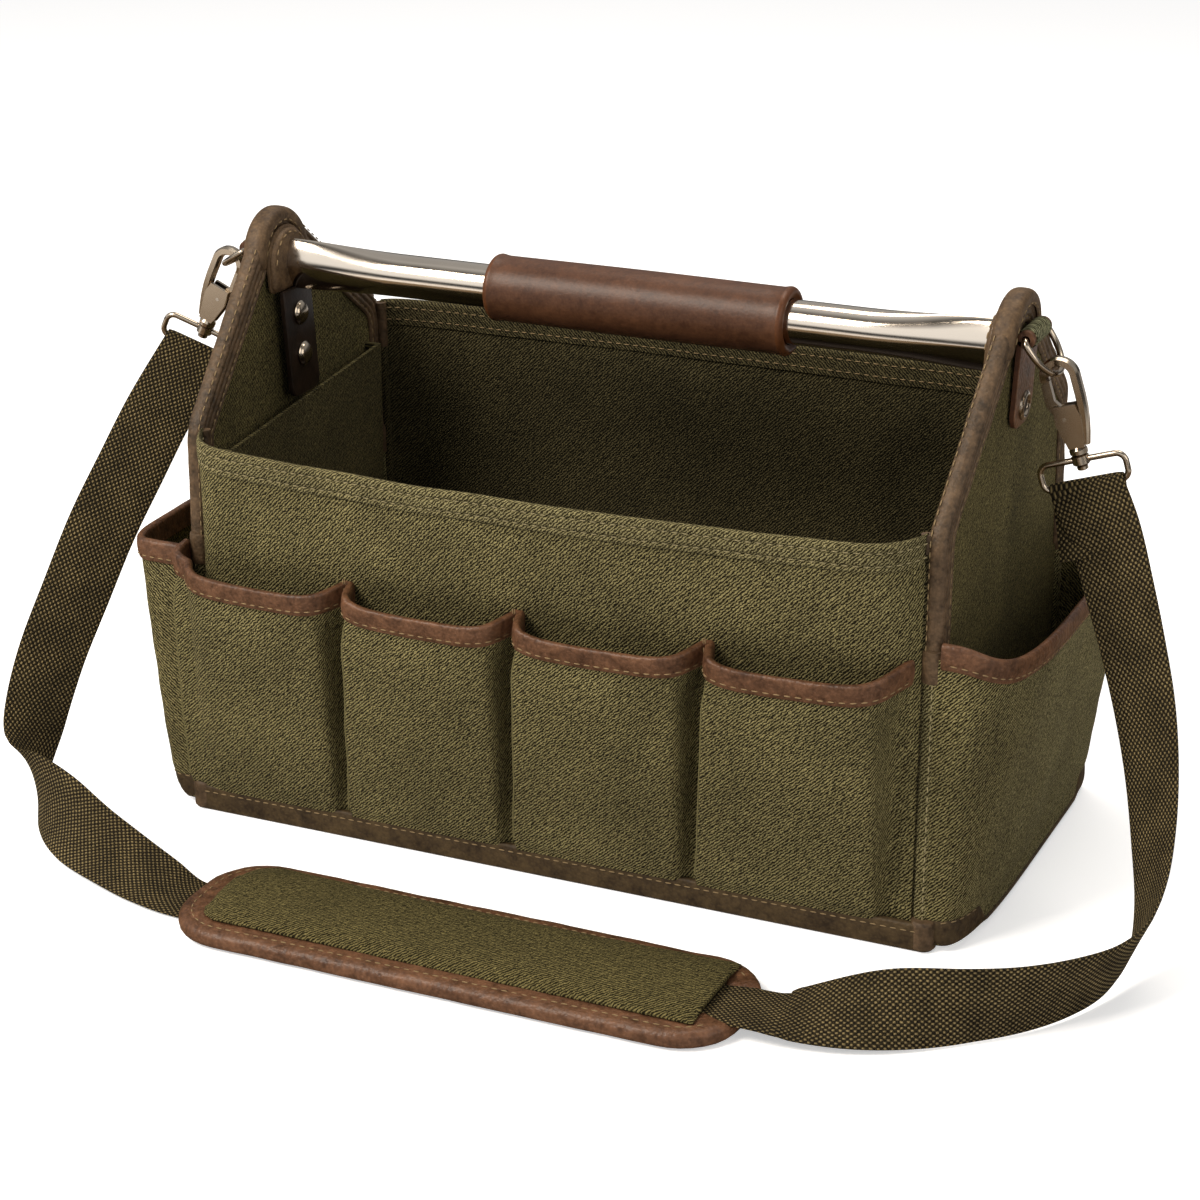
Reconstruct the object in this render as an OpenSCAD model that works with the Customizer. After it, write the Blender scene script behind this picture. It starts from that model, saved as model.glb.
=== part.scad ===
// Open-topped canvas tool bag: stiffened gable ends, a steel tube handle with a leather grip,
// bellows pockets on every side and a clip-on webbing shoulder strap with a pad.
// X runs along the bag, the front faces -Y, and the bag stands on Z = 0.

/* [Bag body] */
// Length over the bottom band
bag_length = 404; // [384:1:424]
// Depth over the bottom band
bag_depth = 214; // [204:1:224]
// Height of the front wall's rim
front_height = 206; // [200:1:212]
// Height of the back wall's rim
back_height = 222; // [216:1:228]
// Height of the rounded gable tops, measured along the end panels
gable_height = 294; // [288:1:302]
// Radius of the gable tops
gable_top_r = 24; // [21:1:28]
// How far each corner comes in towards the middle of the depth by the rim
corner_lean = 7; // [4:1:10]
// How far the end panels lean in at the front rim
end_lean = 0.5; // [0:0.5:3]
// How far the gables spread out again above the front rim
gable_flare = 5; // [3:1:9]
// How far the front wall bellies out at its rim
front_belly = 34; // [28:1:38]
// How far the back wall bellies out at its rim
back_belly = 10; // [6:1:14]

/* [Cloth and leather] */
// Canvas wall, two layers
canvas = 3; // [2.5:0.1:3.5]
// Stiffened end panel
end_panel = 6; // [5:0.5:7]
// Pocket canvas
pocket_canvas = 2; // [1.6:0.1:2.4]
// Leather of the bottom band
band_leather = 3.2; // [2.6:0.1:3.8]
// Height of the bottom band
band_height = 14; // [11:1:16]
// Width of the leather binding on the gable edges
binding_width = 14; // [12:0.5:16]
// How far the binding stands proud of each face of the end panel
binding_proud = 1.5; // [1:0.1:2]
// Height of the folded hem on the front and back walls
hem_height = 14; // [12:1:17]
// Radius of the canvas piping down the corners
piping_r = 4.5; // [3.8:0.1:5]

/* [Pockets] */
// Height of the pocket rims
pocket_height = 143; // [136:1:150]
// Height of the leather strip along the pocket rims
pocket_strip = 11.5; // [9:0.5:14]
// Belly of the front pockets at the rim
front_pocket_belly = 18; // [14:1:20]
// Belly of the back pockets at the rim
back_pocket_belly = 14; // [10:1:16]
// Belly of the end pockets at the rim
end_pocket_belly = 35; // [30:1:40]
// Belly of the end pockets at the bottom
end_pocket_foot = 17; // [12:1:22]
// How far the right end pocket's rim rises towards its ends
end_pocket_lift = 12; // [0:1:14]
// Height of the flat pockets inside the ends, halfway along the rim
inner_pocket_height = 196; // [170:1:200]
// How much higher the rim of an inner pocket lies at the back than at the front
inner_pocket_slope = 12; // [0:1:16]

/* [Handle] */
// Height of the tube's axis
handle_height = 267; // [264:1:270]
// Radius of the tube
tube_r = 11; // [10:0.5:12]
// Wall of the tube
tube_wall = 1.5; // [1.2:0.1:2]
// Half the height of the flattened tube end
tube_end_tall = 12; // [11:0.5:13]
// Half the depth of the flattened tube end
tube_end_deep = 6; // [5:0.5:7]
// Length over which the tube flattens
tube_flare_length = 52; // [40:1:60]
// Length of the leather grip
grip_length = 160; // [130:1:180]
// Outer radius of the grip
grip_r = 17; // [15.5:0.5:18.5]
// Where the grip's middle lies on the tube
grip_middle = 8; // [-10:1:14]

/* [Rings, hooks and strap] */
// Wire radius of the D rings
ring_wire = 1.6; // [1.4:0.1:1.8]
// Arc radius of the D rings
ring_r = 17; // [16:0.5:18]
// Straight leg of the D rings
ring_leg = 5; // [4:0.5:7]
// Wire radius of the swivel eyes
eye_wire = 1.5; // [1.3:0.1:1.7]
// Width of the webbing
webbing_width = 36; // [34:1:37]
// Thickness of the webbing
webbing_thick = 2; // [1.6:0.1:2.2]

/* [Shoulder pad] */
// Length of the pad
pad_length = 290; // [280:1:300]
// Width of the pad
pad_width = 78; // [74:1:84]
// Thickness of the pad's leather base
pad_base_thick = 6.4; // [6:0.1:6.7]
// Travel of the pad along the webbing, each way
pad_travel = 8; // [4:1:8]

/* [Hidden] */

$fn = 48;

// Clearances: between sewn pieces, and between pieces that move
seat = 0.3;
run = 0.4;
// Overrun of every cut
over = 1;
// Sample counts along curved sheets, not lengths
across_count = 16;
rise_count = 5;

olive = [0.36, 0.36, 0.24];
olive_dark = [0.25, 0.24, 0.15];
brown = [0.36, 0.24, 0.17];
brown_dark = [0.22, 0.15, 0.11];
steel = [0.75, 0.72, 0.68];
nickel = [0.55, 0.48, 0.40];

function mix(a, b, share) = a + (b - a) * share;
function unit(v) = v / norm(v);

// Outer faces of the walls. The corner line comes in with height, and so do the end panels.
end_foot = bag_length / 2 - band_leather - seat;
corner_foot = bag_depth / 2 - band_leather - seat;
bend_height = front_height;
function end_x(z) = end_foot - end_lean * z / bend_height;
function corner_y(z) = corner_foot - corner_lean * z / bend_height;
upper_tilt = atan(gable_flare / (gable_height - bend_height));
// The front and back walls end beside the corner piping, and above it beside the gables' binding
hem_proud = 1;
binding_tuck = 3;
binding_foot = pocket_height - binding_tuck;
function wall_half(z) = end_x(z) - end_panel - binding_proud - seat;
function gable_half(z) = corner_y(z);

// Belly of the walls: a square-shouldered part and a round part, growing with height
shoulder_share = 0.63;
shoulder_power = 24;
belly_power = 1.4;
function belly_shape(s) =
    shoulder_share * (1 - pow(abs(s), shoulder_power)) + (1 - shoulder_share) * (1 - s * s);
function wall_y(x, z, belly, top) =
    corner_y(z) + belly * pow(max(0, z - wall_foot) / (top - wall_foot), belly_power)
        * belly_shape(min(1, abs(x) / wall_half(z)));
function front_y(x, z) = wall_y(x, z, front_belly, front_height);
function back_y(x, z) = wall_y(x, z, back_belly, back_height);

// A solid sheet between two grids of points, outer and inner, each a list of rows. A round one
// joins the end of each row to its start.
module sheet(outer, inner, round = false) {
    rows = len(outer);
    cols = len(outer[0]);
    shift = rows * cols;
    points = concat([for (r = outer) each r], [for (r = inner) each r]);
    last = round ? cols - 1 : cols - 2;
    function at(r, c) = r * cols + c % cols;
    skin = [for (r = [0:rows - 2], c = [0:last])
        [at(r, c), at(r + 1, c), at(r + 1, c + 1), at(r, c + 1)]];
    back = [for (f = skin) [for (i = [3:-1:0]) f[i] + shift]];
    low = [for (c = [0:last]) [at(0, c), at(0, c + 1), at(0, c + 1) + shift, at(0, c) + shift]];
    high = [for (c = [0:last])
        [at(rows - 1, c), at(rows - 1, c) + shift, at(rows - 1, c + 1) + shift, at(rows - 1, c + 1)]];
    near = [for (r = [0:rows - 2]) [at(r, 0), at(r, 0) + shift, at(r + 1, 0) + shift, at(r + 1, 0)]];
    far = [for (r = [0:rows - 2])
        [at(r, cols - 1), at(r + 1, cols - 1), at(r + 1, cols - 1) + shift, at(r, cols - 1) + shift]];
    quads = round ? concat(skin, back, low, high) : concat(skin, back, low, high, near, far);
    triangles = [for (q = quads) each [[q[0], q[1], q[2]], [q[0], q[2], q[3]]]];
    polyhedron(points, triangles);
}

// A solid bar with round section between two points
module rod(p, q, r) {
    d = q - p;
    translate(p) rotate([0, acos(d.z / norm(d)), atan2(d.y, d.x)]) cylinder(h = norm(d), r = r);
}

// An outline in Y and Z, given thickness along X
module plate(thick, outline) {
    rotate([90, 0, 90]) linear_extrude(thick) polygon(outline);
}

module round_rect(length, width, corner, thick) {
    linear_extrude(thick) {
        square([length - 2 * corner, width], center = true);
        square([length, width - 2 * corner], center = true);
        for (x = [-1, 1], y = [-1, 1])
            translate([x * (length / 2 - corner), y * (width / 2 - corner)]) circle(corner);
    }
}

// Bottom: a canvas floor, a stiff board on it and a leather band around the foot of the walls
floor_thick = 2.5;
board_thick = 4;
band_corner = 10;

module bottom_panel() {
    color(olive_dark)
        round_rect(2 * end_foot, 2 * corner_foot, band_corner - band_leather, floor_thick);
}

module base_board() {
    inset = end_panel + 2 * seat;
    color(brown_dark) translate([0, 0, floor_thick + seat])
        round_rect(2 * (end_foot - inset), 2 * (corner_foot - canvas - 2 * seat - end_lean),
            band_corner - band_leather, board_thick);
}

module bottom_band() {
    color(brown) difference() {
        round_rect(bag_length, bag_depth, band_corner, band_height);
        translate([0, 0, -over])
            round_rect(2 * (end_foot + seat), 2 * (corner_foot + seat), band_corner - band_leather,
                band_height + 2 * over);
    }
}

// Front and back walls, and the folded hems on top of them
wall_foot = floor_thick + seat;

function wall_row(z, half, belly, top, side, depth) = [for (i = [0:2 * across_count])
    let (s = sin(90 * (i / across_count - 1)), x = side * s * half)
    [x, -side * (wall_y(x, z, belly, top) - depth), z]];

module wall(foot, top, belly, rim, side, proud, thick) {
    low = max(foot, band_height + seat);
    count = foot > binding_foot ? 2 : rise_count + 1;
    levels = concat(low > foot ? [foot] : [], [for (i = [0:count]) mix(low, top, i / count)]);
    sheet([for (z = levels) wall_row(z, wall_half(z), belly, rim, side, -proud)],
        [for (z = levels) wall_row(z, wall_half(z), belly, rim, side, thick - proud)]);
}

module front_panel() {
    color(olive) wall(wall_foot, front_height - hem_height - seat, front_belly, front_height, 1, 0, canvas);
}

module back_panel() {
    color(olive) wall(wall_foot, back_height - hem_height - seat, back_belly, back_height, -1, 0, canvas);
}

module front_hem() {
    color(olive) wall(front_height - hem_height, front_height, front_belly, front_height, 1,
        hem_proud, canvas + 2 * hem_proud);
}

module back_hem() {
    color(olive) wall(back_height - hem_height, back_height, back_belly, back_height, -1,
        hem_proud, canvas + 2 * hem_proud);
}

// Gable ends. The lower part leans in and the upper part, above the front rim, spreads out.
apex_z = gable_height - gable_top_r;
function up(z) = (z - bend_height) / cos(upper_tilt);
apex_v = up(handle_height);
// Loop for each ring's straight bar, on a tab that lies over the binding
outer_seat = binding_proud + seat;
loop_leather = 2.3;
loop_bore = ring_wire + run;
loop_r = loop_bore + loop_leather;
loop_x = outer_seat + loop_r;
loop_rise = 9;
loop_z = handle_height + loop_rise;
loop_v = up(loop_z);
gable_front = [-gable_half(front_height), front_height];
gable_back = [gable_half(back_height), back_height];
function tangent_angle(p, side) =
    let (d = p - [0, apex_z]) atan2(d.y, d.x) + side * acos(gable_top_r / norm(d));
front_angle = tangent_angle(gable_front, -1);
back_angle = tangent_angle(gable_back, 1);
front_turn = front_angle < 0 ? front_angle + 360 : front_angle;
arc_count = 14;
function arc(r, from, to) = [for (i = [0:arc_count])
    let (a = mix(from, to, i / arc_count)) [r * cos(a), apex_z + r * sin(a)]];
function slant_z(y, angle, r) = apex_z + (r - cos(angle) * y) / sin(angle);
function low_y(z, inset) = inset - gable_half(z);

// Lower edges of an end, drawn in by some amount
function end_skirt(inset) = [
    [-low_y(binding_foot, inset), binding_foot], [-low_y(wall_foot, inset), wall_foot],
    [low_y(wall_foot, inset), wall_foot], [low_y(binding_foot, inset), binding_foot]];
// Outline of an end above the foot of its binding, drawn in by some amount, with a skirt below
function end_outline(inset, skirt = []) =
    let (yf = gable_front.x + inset, yb = gable_back.x - inset, r = gable_top_r - inset)
    concat([[yb, slant_z(yb, back_angle, r)], [-low_y(binding_foot, inset), binding_foot]], skirt,
        [[low_y(binding_foot, inset), binding_foot], [yf, slant_z(yf, front_turn, r)]],
        arc(r, front_turn, back_angle));

// Places its children on the right or the left end, below or above the bend
module end_side(side) {
    if (side > 0) children();
    else mirror([1, 0, 0]) children();
}
module above_bend() {
    translate([end_x(bend_height), 0, bend_height]) rotate([0, upper_tilt, 0]) children();
}

rivet_r = 2;
rivet_high = 34;
rivet_low = 12;
rivet_heights = [rivet_high, rivet_low];

module rivet_bores(from, to) {
    for (v = rivet_heights)
        translate([from, 0, v]) rotate([0, 90, 0]) cylinder(h = to - from, r = rivet_r + seat);
}

// The bent sheet of an end, between two offsets from its outer face, cut to an outline
module bent(from, to, outline) {
    top_x = end_x(bend_height);
    intersection() {
        rotate([90, 0, 0]) translate([0, 0, -bag_depth]) linear_extrude(2 * bag_depth) polygon([
            [end_foot + from, 0], [end_foot + to, 0], [top_x + to, bend_height],
            [top_x + gable_flare + to, gable_height], [top_x + gable_flare + from, gable_height],
            [top_x + from, bend_height]]);
        plate(bag_length, outline);
    }
}

module end_panel_shape() {
    difference() {
        bent(-end_panel, 0, end_outline(binding_width + seat, end_skirt(2 * (piping_r + seat))));
        above_bend() rivet_bores(-end_panel - over, over);
    }
}

module left_end_panel() { color(olive) end_side(-1) end_panel_shape(); }
module right_end_panel() { color(olive) end_side(1) end_panel_shape(); }

module end_binding_shape() {
    difference() {
        bent(-end_panel - binding_proud, binding_proud, end_outline(0));
        plate(bag_length, end_outline(binding_width, end_skirt(binding_width)));
    }
}

module left_end_binding() { color(brown) end_side(-1) end_binding_shape(); }
module right_end_binding() { color(brown) end_side(1) end_binding_shape(); }

// Leather cap over each gable top, cut out around the bracket inside and the loop outside
cap_leather = 1.6;
cap_height = 22;
cap_foot = gable_height - cap_height;
bracket_r = 20;
bracket_gap = 1.2;

module apex_cap_shape() {
    face = seat + binding_proud;
    difference() {
        bent(-end_panel - face - cap_leather, face + cap_leather,
            concat([[bag_depth, cap_foot], [-bag_depth, cap_foot], [-bag_depth, gable_height],
                [bag_depth, gable_height]]));
        difference() {
            plate(2 * bag_length, [[bag_depth, 0], [-bag_depth, 0], [-bag_depth, 2 * gable_height],
                [bag_depth, 2 * gable_height]]);
            plate(2 * bag_length, end_outline(-cap_leather - seat));
        }
        bent(-end_panel - face, face, end_outline(-seat));
        above_bend() translate([-bag_length, 0, apex_v]) rotate([0, 90, 0])
            cylinder(h = bag_length - end_panel, r = bracket_r + bracket_gap);
        above_bend() translate([-bag_length, -bracket_r - bracket_gap, 0])
            cube([bag_length - end_panel, 2 * (bracket_r + bracket_gap), apex_v]);
        above_bend() translate([0, -tab_half - seat, 0])
            cube([bag_length, 2 * (tab_half + seat), loop_v + loop_r + 2 * seat]);
    }
}

module left_apex_cap() { color(brown) end_side(-1) apex_cap_shape(); }
module right_apex_cap() { color(brown) end_side(1) apex_cap_shape(); }

module corner_piping() {
    foot = band_height + seat;
    top = binding_foot - seat;
    color(olive_dark) for (x = [-1, 1], y = [-1, 1])
        rod([x * (end_x(foot) - piping_r + binding_proud), y * (corner_y(foot) - piping_r), foot],
            [x * (end_x(top) - piping_r + binding_proud), y * (corner_y(top) - piping_r), top], piping_r);
}

// Bellows pockets: a superellipse in plan that swells from the foot to the rim
pocket_foot = band_height + seat;
pocket_foot_belly = 3;
pocket_rise_power = 0.7;
strip_proud = 1.1;
// How square the pockets are in plan, at their front and back halves for the end pockets
wall_square = 5;
right_end_square = [3, 9];
left_end_square = [9, 9];
// Seams between the pockets, as shares of half the bag's length
seam_shares = [-1, -0.48, -0.02, 0.46, 0.93];
function seam(i) = seam_shares[i] * bag_length / 2;

function pocket_belly(z, foot, rim) = mix(foot, rim,
    pow(max(0, z - pocket_foot) / (pocket_height - pocket_foot), pocket_rise_power));
function round_cos(a, power) = sign(cos(a)) * pow(abs(cos(a)), 2 / power);
function round_sin(a, power) = pow(abs(sin(a)), 2 / power);

// One level of a pocket on the front (side 1) or back (side -1) wall
function pocket_row(z, from, to, foot, rim, side, proud, inner, flat = 1) =
    let (mid = (from + to) / 2, half = (to - from) / 2 - (inner ? pocket_canvas : 0),
        swell = flat * (pocket_belly(z, foot, rim) + (inner ? -proud : pocket_canvas + proud)))
    [for (i = [0:across_count]) let (a = 180 * i / across_count,
        x = mid - half * round_cos(a, wall_square),
        wall = side > 0 ? front_y(x, z) : back_y(x, z))
        [side * x, -side * (wall + seat + swell * round_sin(a, wall_square)), z]];

// A pocket with a floor, or the strip along its rim
module wall_pocket(i, side, rim) {
    from = seam(i) + seat / 2;
    to = seam(i + 1) - seat / 2;
    levels = [for (k = [1:rise_count]) mix(pocket_foot, strip_foot - seat, k / rise_count)];
    function row(z, inner, flat) =
        pocket_row(z, from, to, pocket_foot_belly, rim, side, 0, inner, flat);
    sheet(concat([for (flat = [0, 1]) row(pocket_foot, false, flat)],
            [for (z = levels) row(z, false, 1)]),
        concat([for (flat = [0, 1]) row(pocket_foot + pocket_canvas, true, flat)],
            [for (z = levels) row(z, true, 1)]));
}

module wall_strip(i, side, rim) {
    from = seam(i) + seat / 2;
    to = seam(i + 1) - seat / 2;
    function row(z, inner) =
        pocket_row(z, from, to, pocket_foot_belly, rim, side, strip_proud, inner);
    sheet([for (z = [strip_foot, pocket_height]) row(z, false)],
        [for (z = [strip_foot, pocket_height]) row(z, true)]);
}

strip_foot = pocket_height - pocket_strip;
module front_pocket(i) {
    color(olive) wall_pocket(i, 1, front_pocket_belly);
}
module front_pocket_strip(i) {
    color(brown) wall_strip(i, 1, front_pocket_belly);
}
module back_pocket(i) {
    color(olive) wall_pocket(i, -1, back_pocket_belly);
}
module back_pocket_strips() {
    color(brown) for (i = [0:len(seam_shares) - 2]) wall_strip(i, -1, back_pocket_belly);
}

// One level of an end pocket. Below the top of the bottom band it starts outside the band.
end_foot_z = 4;
lift_power = 6;
function end_base(z) = z < pocket_foot ? bag_length / 2 + seat : end_x(z) + seat + binding_proud;
function end_pocket_row(z, side, square, proud, lift, inner, flat = 1) =
    let (half = corner_y(z) - seat - (inner ? pocket_canvas : 0),
        reach = end_foot + binding_proud + pocket_belly(z, end_pocket_foot, end_pocket_belly)
            + (inner ? -proud : pocket_canvas + proud))
    [for (i = [0:across_count]) let (a = 180 * i / across_count, n = a < 90 ? square[0] : square[1],
        share = max(0, z - pocket_foot) / (pocket_height - pocket_foot))
        [side * mix(end_base(z), reach, flat * round_sin(a, n)), -half * round_cos(a, n),
            z + lift * share * pow(abs(cos(a)), lift_power)]];

module end_pocket_shape(side, square, lift) {
    levels = concat([pocket_foot - seat],
        [for (k = [0:rise_count]) mix(pocket_foot, strip_foot - seat, k / rise_count)]);
    function row(z, inner, flat) = end_pocket_row(z, side, square, 0, lift, inner, flat);
    outer = concat([for (flat = [0, 1]) row(end_foot_z, false, flat)],
        [for (z = levels) row(z, false, 1)]);
    inner = concat([for (flat = [0, 1]) row(end_foot_z + pocket_canvas, true, flat)],
        [for (z = levels) row(z, true, 1)]);
    if (side > 0) sheet(outer, inner);
    else sheet(inner, outer);
}

module end_strip_shape(side, square, lift) {
    function rows(inner) = [for (z = [strip_foot, pocket_height])
        end_pocket_row(z, side, square, strip_proud, lift, inner)];
    if (side > 0) sheet(rows(false), rows(true));
    else sheet(rows(true), rows(false));
}

module left_end_pocket() { color(olive) end_pocket_shape(-1, left_end_square, 0); }
module right_end_pocket() { color(olive) end_pocket_shape(1, right_end_square, end_pocket_lift); }
module left_end_pocket_strip() { color(brown) end_strip_shape(-1, left_end_square, 0); }
module right_end_pocket_strip() { color(brown) end_strip_shape(1, right_end_square, end_pocket_lift); }

// Flat pocket inside each end
inner_pocket_belly = 7;
inner_pocket_foot = wall_foot + board_thick + seat;
function inner_half(z) = gable_half(z) - binding_width - canvas;
function inner_face(z) = end_x(z) - end_panel - seat;

// A wedge against the end panel, some depth at its foot and its rim, drawn in at its sides
module inner_wedge(foot, foot_depth, rim_depth, inset, back) {
    rim = inner_pocket_height + inner_pocket_slope;
    middle = inner_pocket_height + back;
    rise = inner_pocket_slope / 2;
    intersection() {
        rotate([90, 0, 0]) translate([0, 0, -bag_depth]) linear_extrude(2 * bag_depth) polygon([
            [inner_face(foot) + back, foot], [inner_face(rim) + back, rim],
            [inner_face(rim) - rim_depth, rim], [inner_face(foot) - foot_depth, foot]]);
        plate(bag_length, [[inner_half(foot) - inset, foot], [inset - inner_half(foot), foot],
            [inset - inner_half(rim), middle - rise], [inner_half(rim) - inset, middle + rise]]);
    }
}

module inner_pocket_shape() {
    difference() {
        inner_wedge(inner_pocket_foot, pocket_canvas, inner_pocket_belly + pocket_canvas, 0, 0);
        inner_wedge(inner_pocket_foot - over, 0, inner_pocket_belly, pocket_canvas, over);
    }
}

module left_inner_pocket() { color(olive_dark) end_side(-1) inner_pocket_shape(); }
module right_inner_pocket() { color(olive_dark) end_side(1) inner_pocket_shape(); }

// Handle: a steel tube with flattened ends on arched brackets, and a loose leather grip
bracket_thick = 2.5;
bracket_face = -end_panel - binding_proud - seat - bracket_thick;
bracket_drop = 13;
bracket_foot = handle_height - bend_height - bracket_drop;
tongue_half = 10;
tongue_foot = 4;
tube_count = 36;
flare_steps = 8;
flare_lap = 0.1;
flare_foot = end_x(bend_height) + bracket_face - tube_flare_length;

function tube_ring(share, x, wall) =
    let (grow = share * share * (3 - 2 * share),
        tall = mix(tube_r, tube_end_tall, grow) - wall, deep = mix(tube_r, tube_end_deep, grow) - wall)
    [for (i = [0:tube_count - 1]) let (a = 360 * i / tube_count) [x, deep * cos(a), handle_height + tall * sin(a)]];

module tube_flare() {
    span = tube_flare_length + 4 * tube_wall;
    rows = [for (k = [0:flare_steps]) k / flare_steps];
    function place(s) = flare_foot - tube_wall + s * span;
    sheet([for (s = rows) tube_ring(s, place(s), flare_lap)],
        [for (s = rows) tube_ring(s, place(s), tube_wall - flare_lap)], true);
}

module handle_tube() {
    color(steel) difference() {
        union() {
            translate([-flare_foot, 0, handle_height]) rotate([0, 90, 0]) difference() {
                cylinder(h = 2 * flare_foot, r = tube_r);
                translate([0, 0, -over]) cylinder(h = 2 * (flare_foot + over), r = tube_r - tube_wall);
            }
            for (side = [-1, 1]) end_side(side) tube_flare();
        }
        for (side = [-1, 1]) end_side(side) above_bend()
            translate([bracket_face - seat, -2 * tube_r, 0]) cube([4 * tube_r, 4 * tube_r, gable_height]);
    }
}

// The sleeve's middle is a little thinner than its rolled ends
grip_bore = tube_r + run;
grip_roll = 2.6;
grip_sink = 0.3;

module grip_sleeve() {
    color(brown) translate([grip_middle - grip_length / 2, 0, handle_height]) rotate([0, 90, 0])
        rotate_extrude() {
            translate([grip_bore, 0]) square([grip_r - grip_roll - grip_bore, grip_length]);
            translate([grip_bore, grip_roll])
                square([grip_r - grip_sink - grip_bore, grip_length - 2 * grip_roll]);
            for (along = [grip_roll, grip_length - grip_roll])
                translate([grip_r - grip_roll, along]) circle(grip_roll);
        }
}

module bracket_shape() {
    above_bend() translate([bracket_face, 0, 0]) difference() {
        union() {
            translate([0, 0, apex_v]) rotate([0, 90, 0]) cylinder(h = bracket_thick, r = bracket_r);
            translate([0, -bracket_r, bracket_foot])
                cube([bracket_thick, 2 * bracket_r, apex_v - bracket_foot]);
            translate([0, -tongue_half, tongue_foot])
                cube([bracket_thick, 2 * tongue_half, bracket_foot - tongue_foot + over]);
        }
        rivet_bores(-over, bracket_thick + over);
    }
}

module left_bracket() { color(steel) end_side(-1) bracket_shape(); }
module right_bracket() { color(steel) end_side(1) bracket_shape(); }

strap_leather = 3;
strap_half = 14;
strap_corner = 5;
strap_top = handle_height - bend_height - tube_end_tall - 2 * seat;
strap_round = min(strap_corner, strap_top / 2);

module inner_strap_shape() {
    above_bend() translate([bracket_face - seat - strap_leather, 0, 0]) difference() {
        rotate([90, 0, 90]) linear_extrude(strap_leather) {
            translate([-strap_half, strap_round]) square([2 * strap_half, strap_top - strap_round]);
            translate([strap_round - strap_half, 0]) square([2 * (strap_half - strap_round), strap_round]);
            for (y = [-1, 1]) translate([y * (strap_half - strap_round), strap_round]) circle(strap_round);
        }
        rivet_bores(-over, strap_leather + over);
    }
}

module left_inner_strap() { color(brown_dark) end_side(-1) inner_strap_shape(); }
module right_inner_strap() { color(brown_dark) end_side(1) inner_strap_shape(); }

// Outer tab: a leather strip below, and a loop above it that holds the ring's straight bar
tab_leather = 2.6;
tab_half = 14;
tab_foot = 24;
tab_corner = 9;

module outer_tab_shape() {
    above_bend() difference() {
        union() {
            translate([outer_seat, 0, 0]) rotate([90, 0, 90]) linear_extrude(tab_leather) {
                translate([-tab_half, tab_foot + tab_corner])
                    square([2 * tab_half, loop_v - tab_foot - tab_corner]);
                translate([tab_corner - tab_half, tab_foot])
                    square([2 * (tab_half - tab_corner), tab_corner]);
                for (y = [-1, 1]) translate([y * (tab_half - tab_corner), tab_foot + tab_corner])
                    circle(tab_corner);
            }
            translate([loop_x, tab_half, loop_v]) rotate([90, 0, 0]) cylinder(h = 2 * tab_half, r = loop_r);
        }
        translate([loop_x, tab_half + over, loop_v]) rotate([90, 0, 0])
            cylinder(h = 2 * (tab_half + over), r = loop_bore);
        translate([-over, 0, rivet_high]) rotate([0, 90, 0])
            cylinder(h = outer_seat + tab_leather + 2 * over, r = rivet_r + seat);
    }
}

module left_outer_tab() { color(brown) end_side(-1) outer_tab_shape(); }
module right_outer_tab() { color(brown) end_side(1) outer_tab_shape(); }

// Rivets: domed heads, with shanks through every layer at the top and into the panel below
head_r = 5;
head_high = 2.2;
head_ball = (head_r * head_r + head_high * head_high) / (2 * head_high);

module dome(direction) {
    rotate([0, direction * 90, 0]) intersection() {
        translate([0, 0, head_high - head_ball]) sphere(head_ball);
        cylinder(h = head_high, r = head_r);
    }
}

module handle_rivets() {
    inner_face = bracket_face - seat - strap_leather - seat;
    outer_face = outer_seat + tab_leather + seat;
    color(nickel) for (side = [-1, 1]) end_side(side) above_bend() {
        for (v = rivet_heights) {
            end_face = v == rivet_high ? outer_face : 0;
            translate([inner_face, 0, v]) {
                dome(-1);
                rotate([0, 90, 0]) cylinder(h = end_face - inner_face, r = rivet_r);
            }
        }
        translate([outer_face, 0, rivet_high]) dome(1);
    }
}

// Rings. The D hangs from its straight bar, swung out to where the hook holds it.
// Each place below holds the right value first and the left one after it.
ring_swing = [35, 58];
ring_half = ring_r;
function pick(side, pair) = side > 0 ? pair[0] : pair[1];

module at_loop(side) {
    above_bend() translate([loop_x, 0, loop_v]) rotate([0, -pick(side, ring_swing) - upper_tilt, 0])
        children();
}

module ring_shape(side) {
    at_loop(side) {
        rod([0, -ring_half, 0], [0, ring_half, 0], ring_wire);
        for (y = [-1, 1]) {
            translate([0, y * ring_half, 0]) sphere(ring_wire);
            rod([0, y * ring_half, -ring_leg], [0, y * ring_half, 0], ring_wire);
        }
        translate([0, 0, -ring_leg]) rotate([0, 90, 0]) rotate([0, 0, -90])
            rotate_extrude(angle = 180) translate([ring_r, 0]) circle(ring_wire, $fn = 24);
    }
}

module left_ring() { color(nickel) end_side(-1) ring_shape(-1); }
module right_ring() { color(nickel) end_side(1) ring_shape(1); }

// Where the ring's lowest point is, which the hook hangs from
function loop_place() = [
    end_x(bend_height) + loop_x * cos(upper_tilt) + loop_v * sin(upper_tilt),
    bend_height - loop_x * sin(upper_tilt) + loop_v * cos(upper_tilt)];
function hook_place(side) =
    loop_place() + (ring_leg + ring_r) * [sin(pick(side, ring_swing)), -cos(pick(side, ring_swing))];
hook_tilt = [17, 25];
eye_turn = [4, -15];

module at_hook(side) {
    p = hook_place(side);
    translate([p.x, 0, p.y]) rotate([0, -pick(side, hook_tilt), 0]) children();
}

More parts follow.
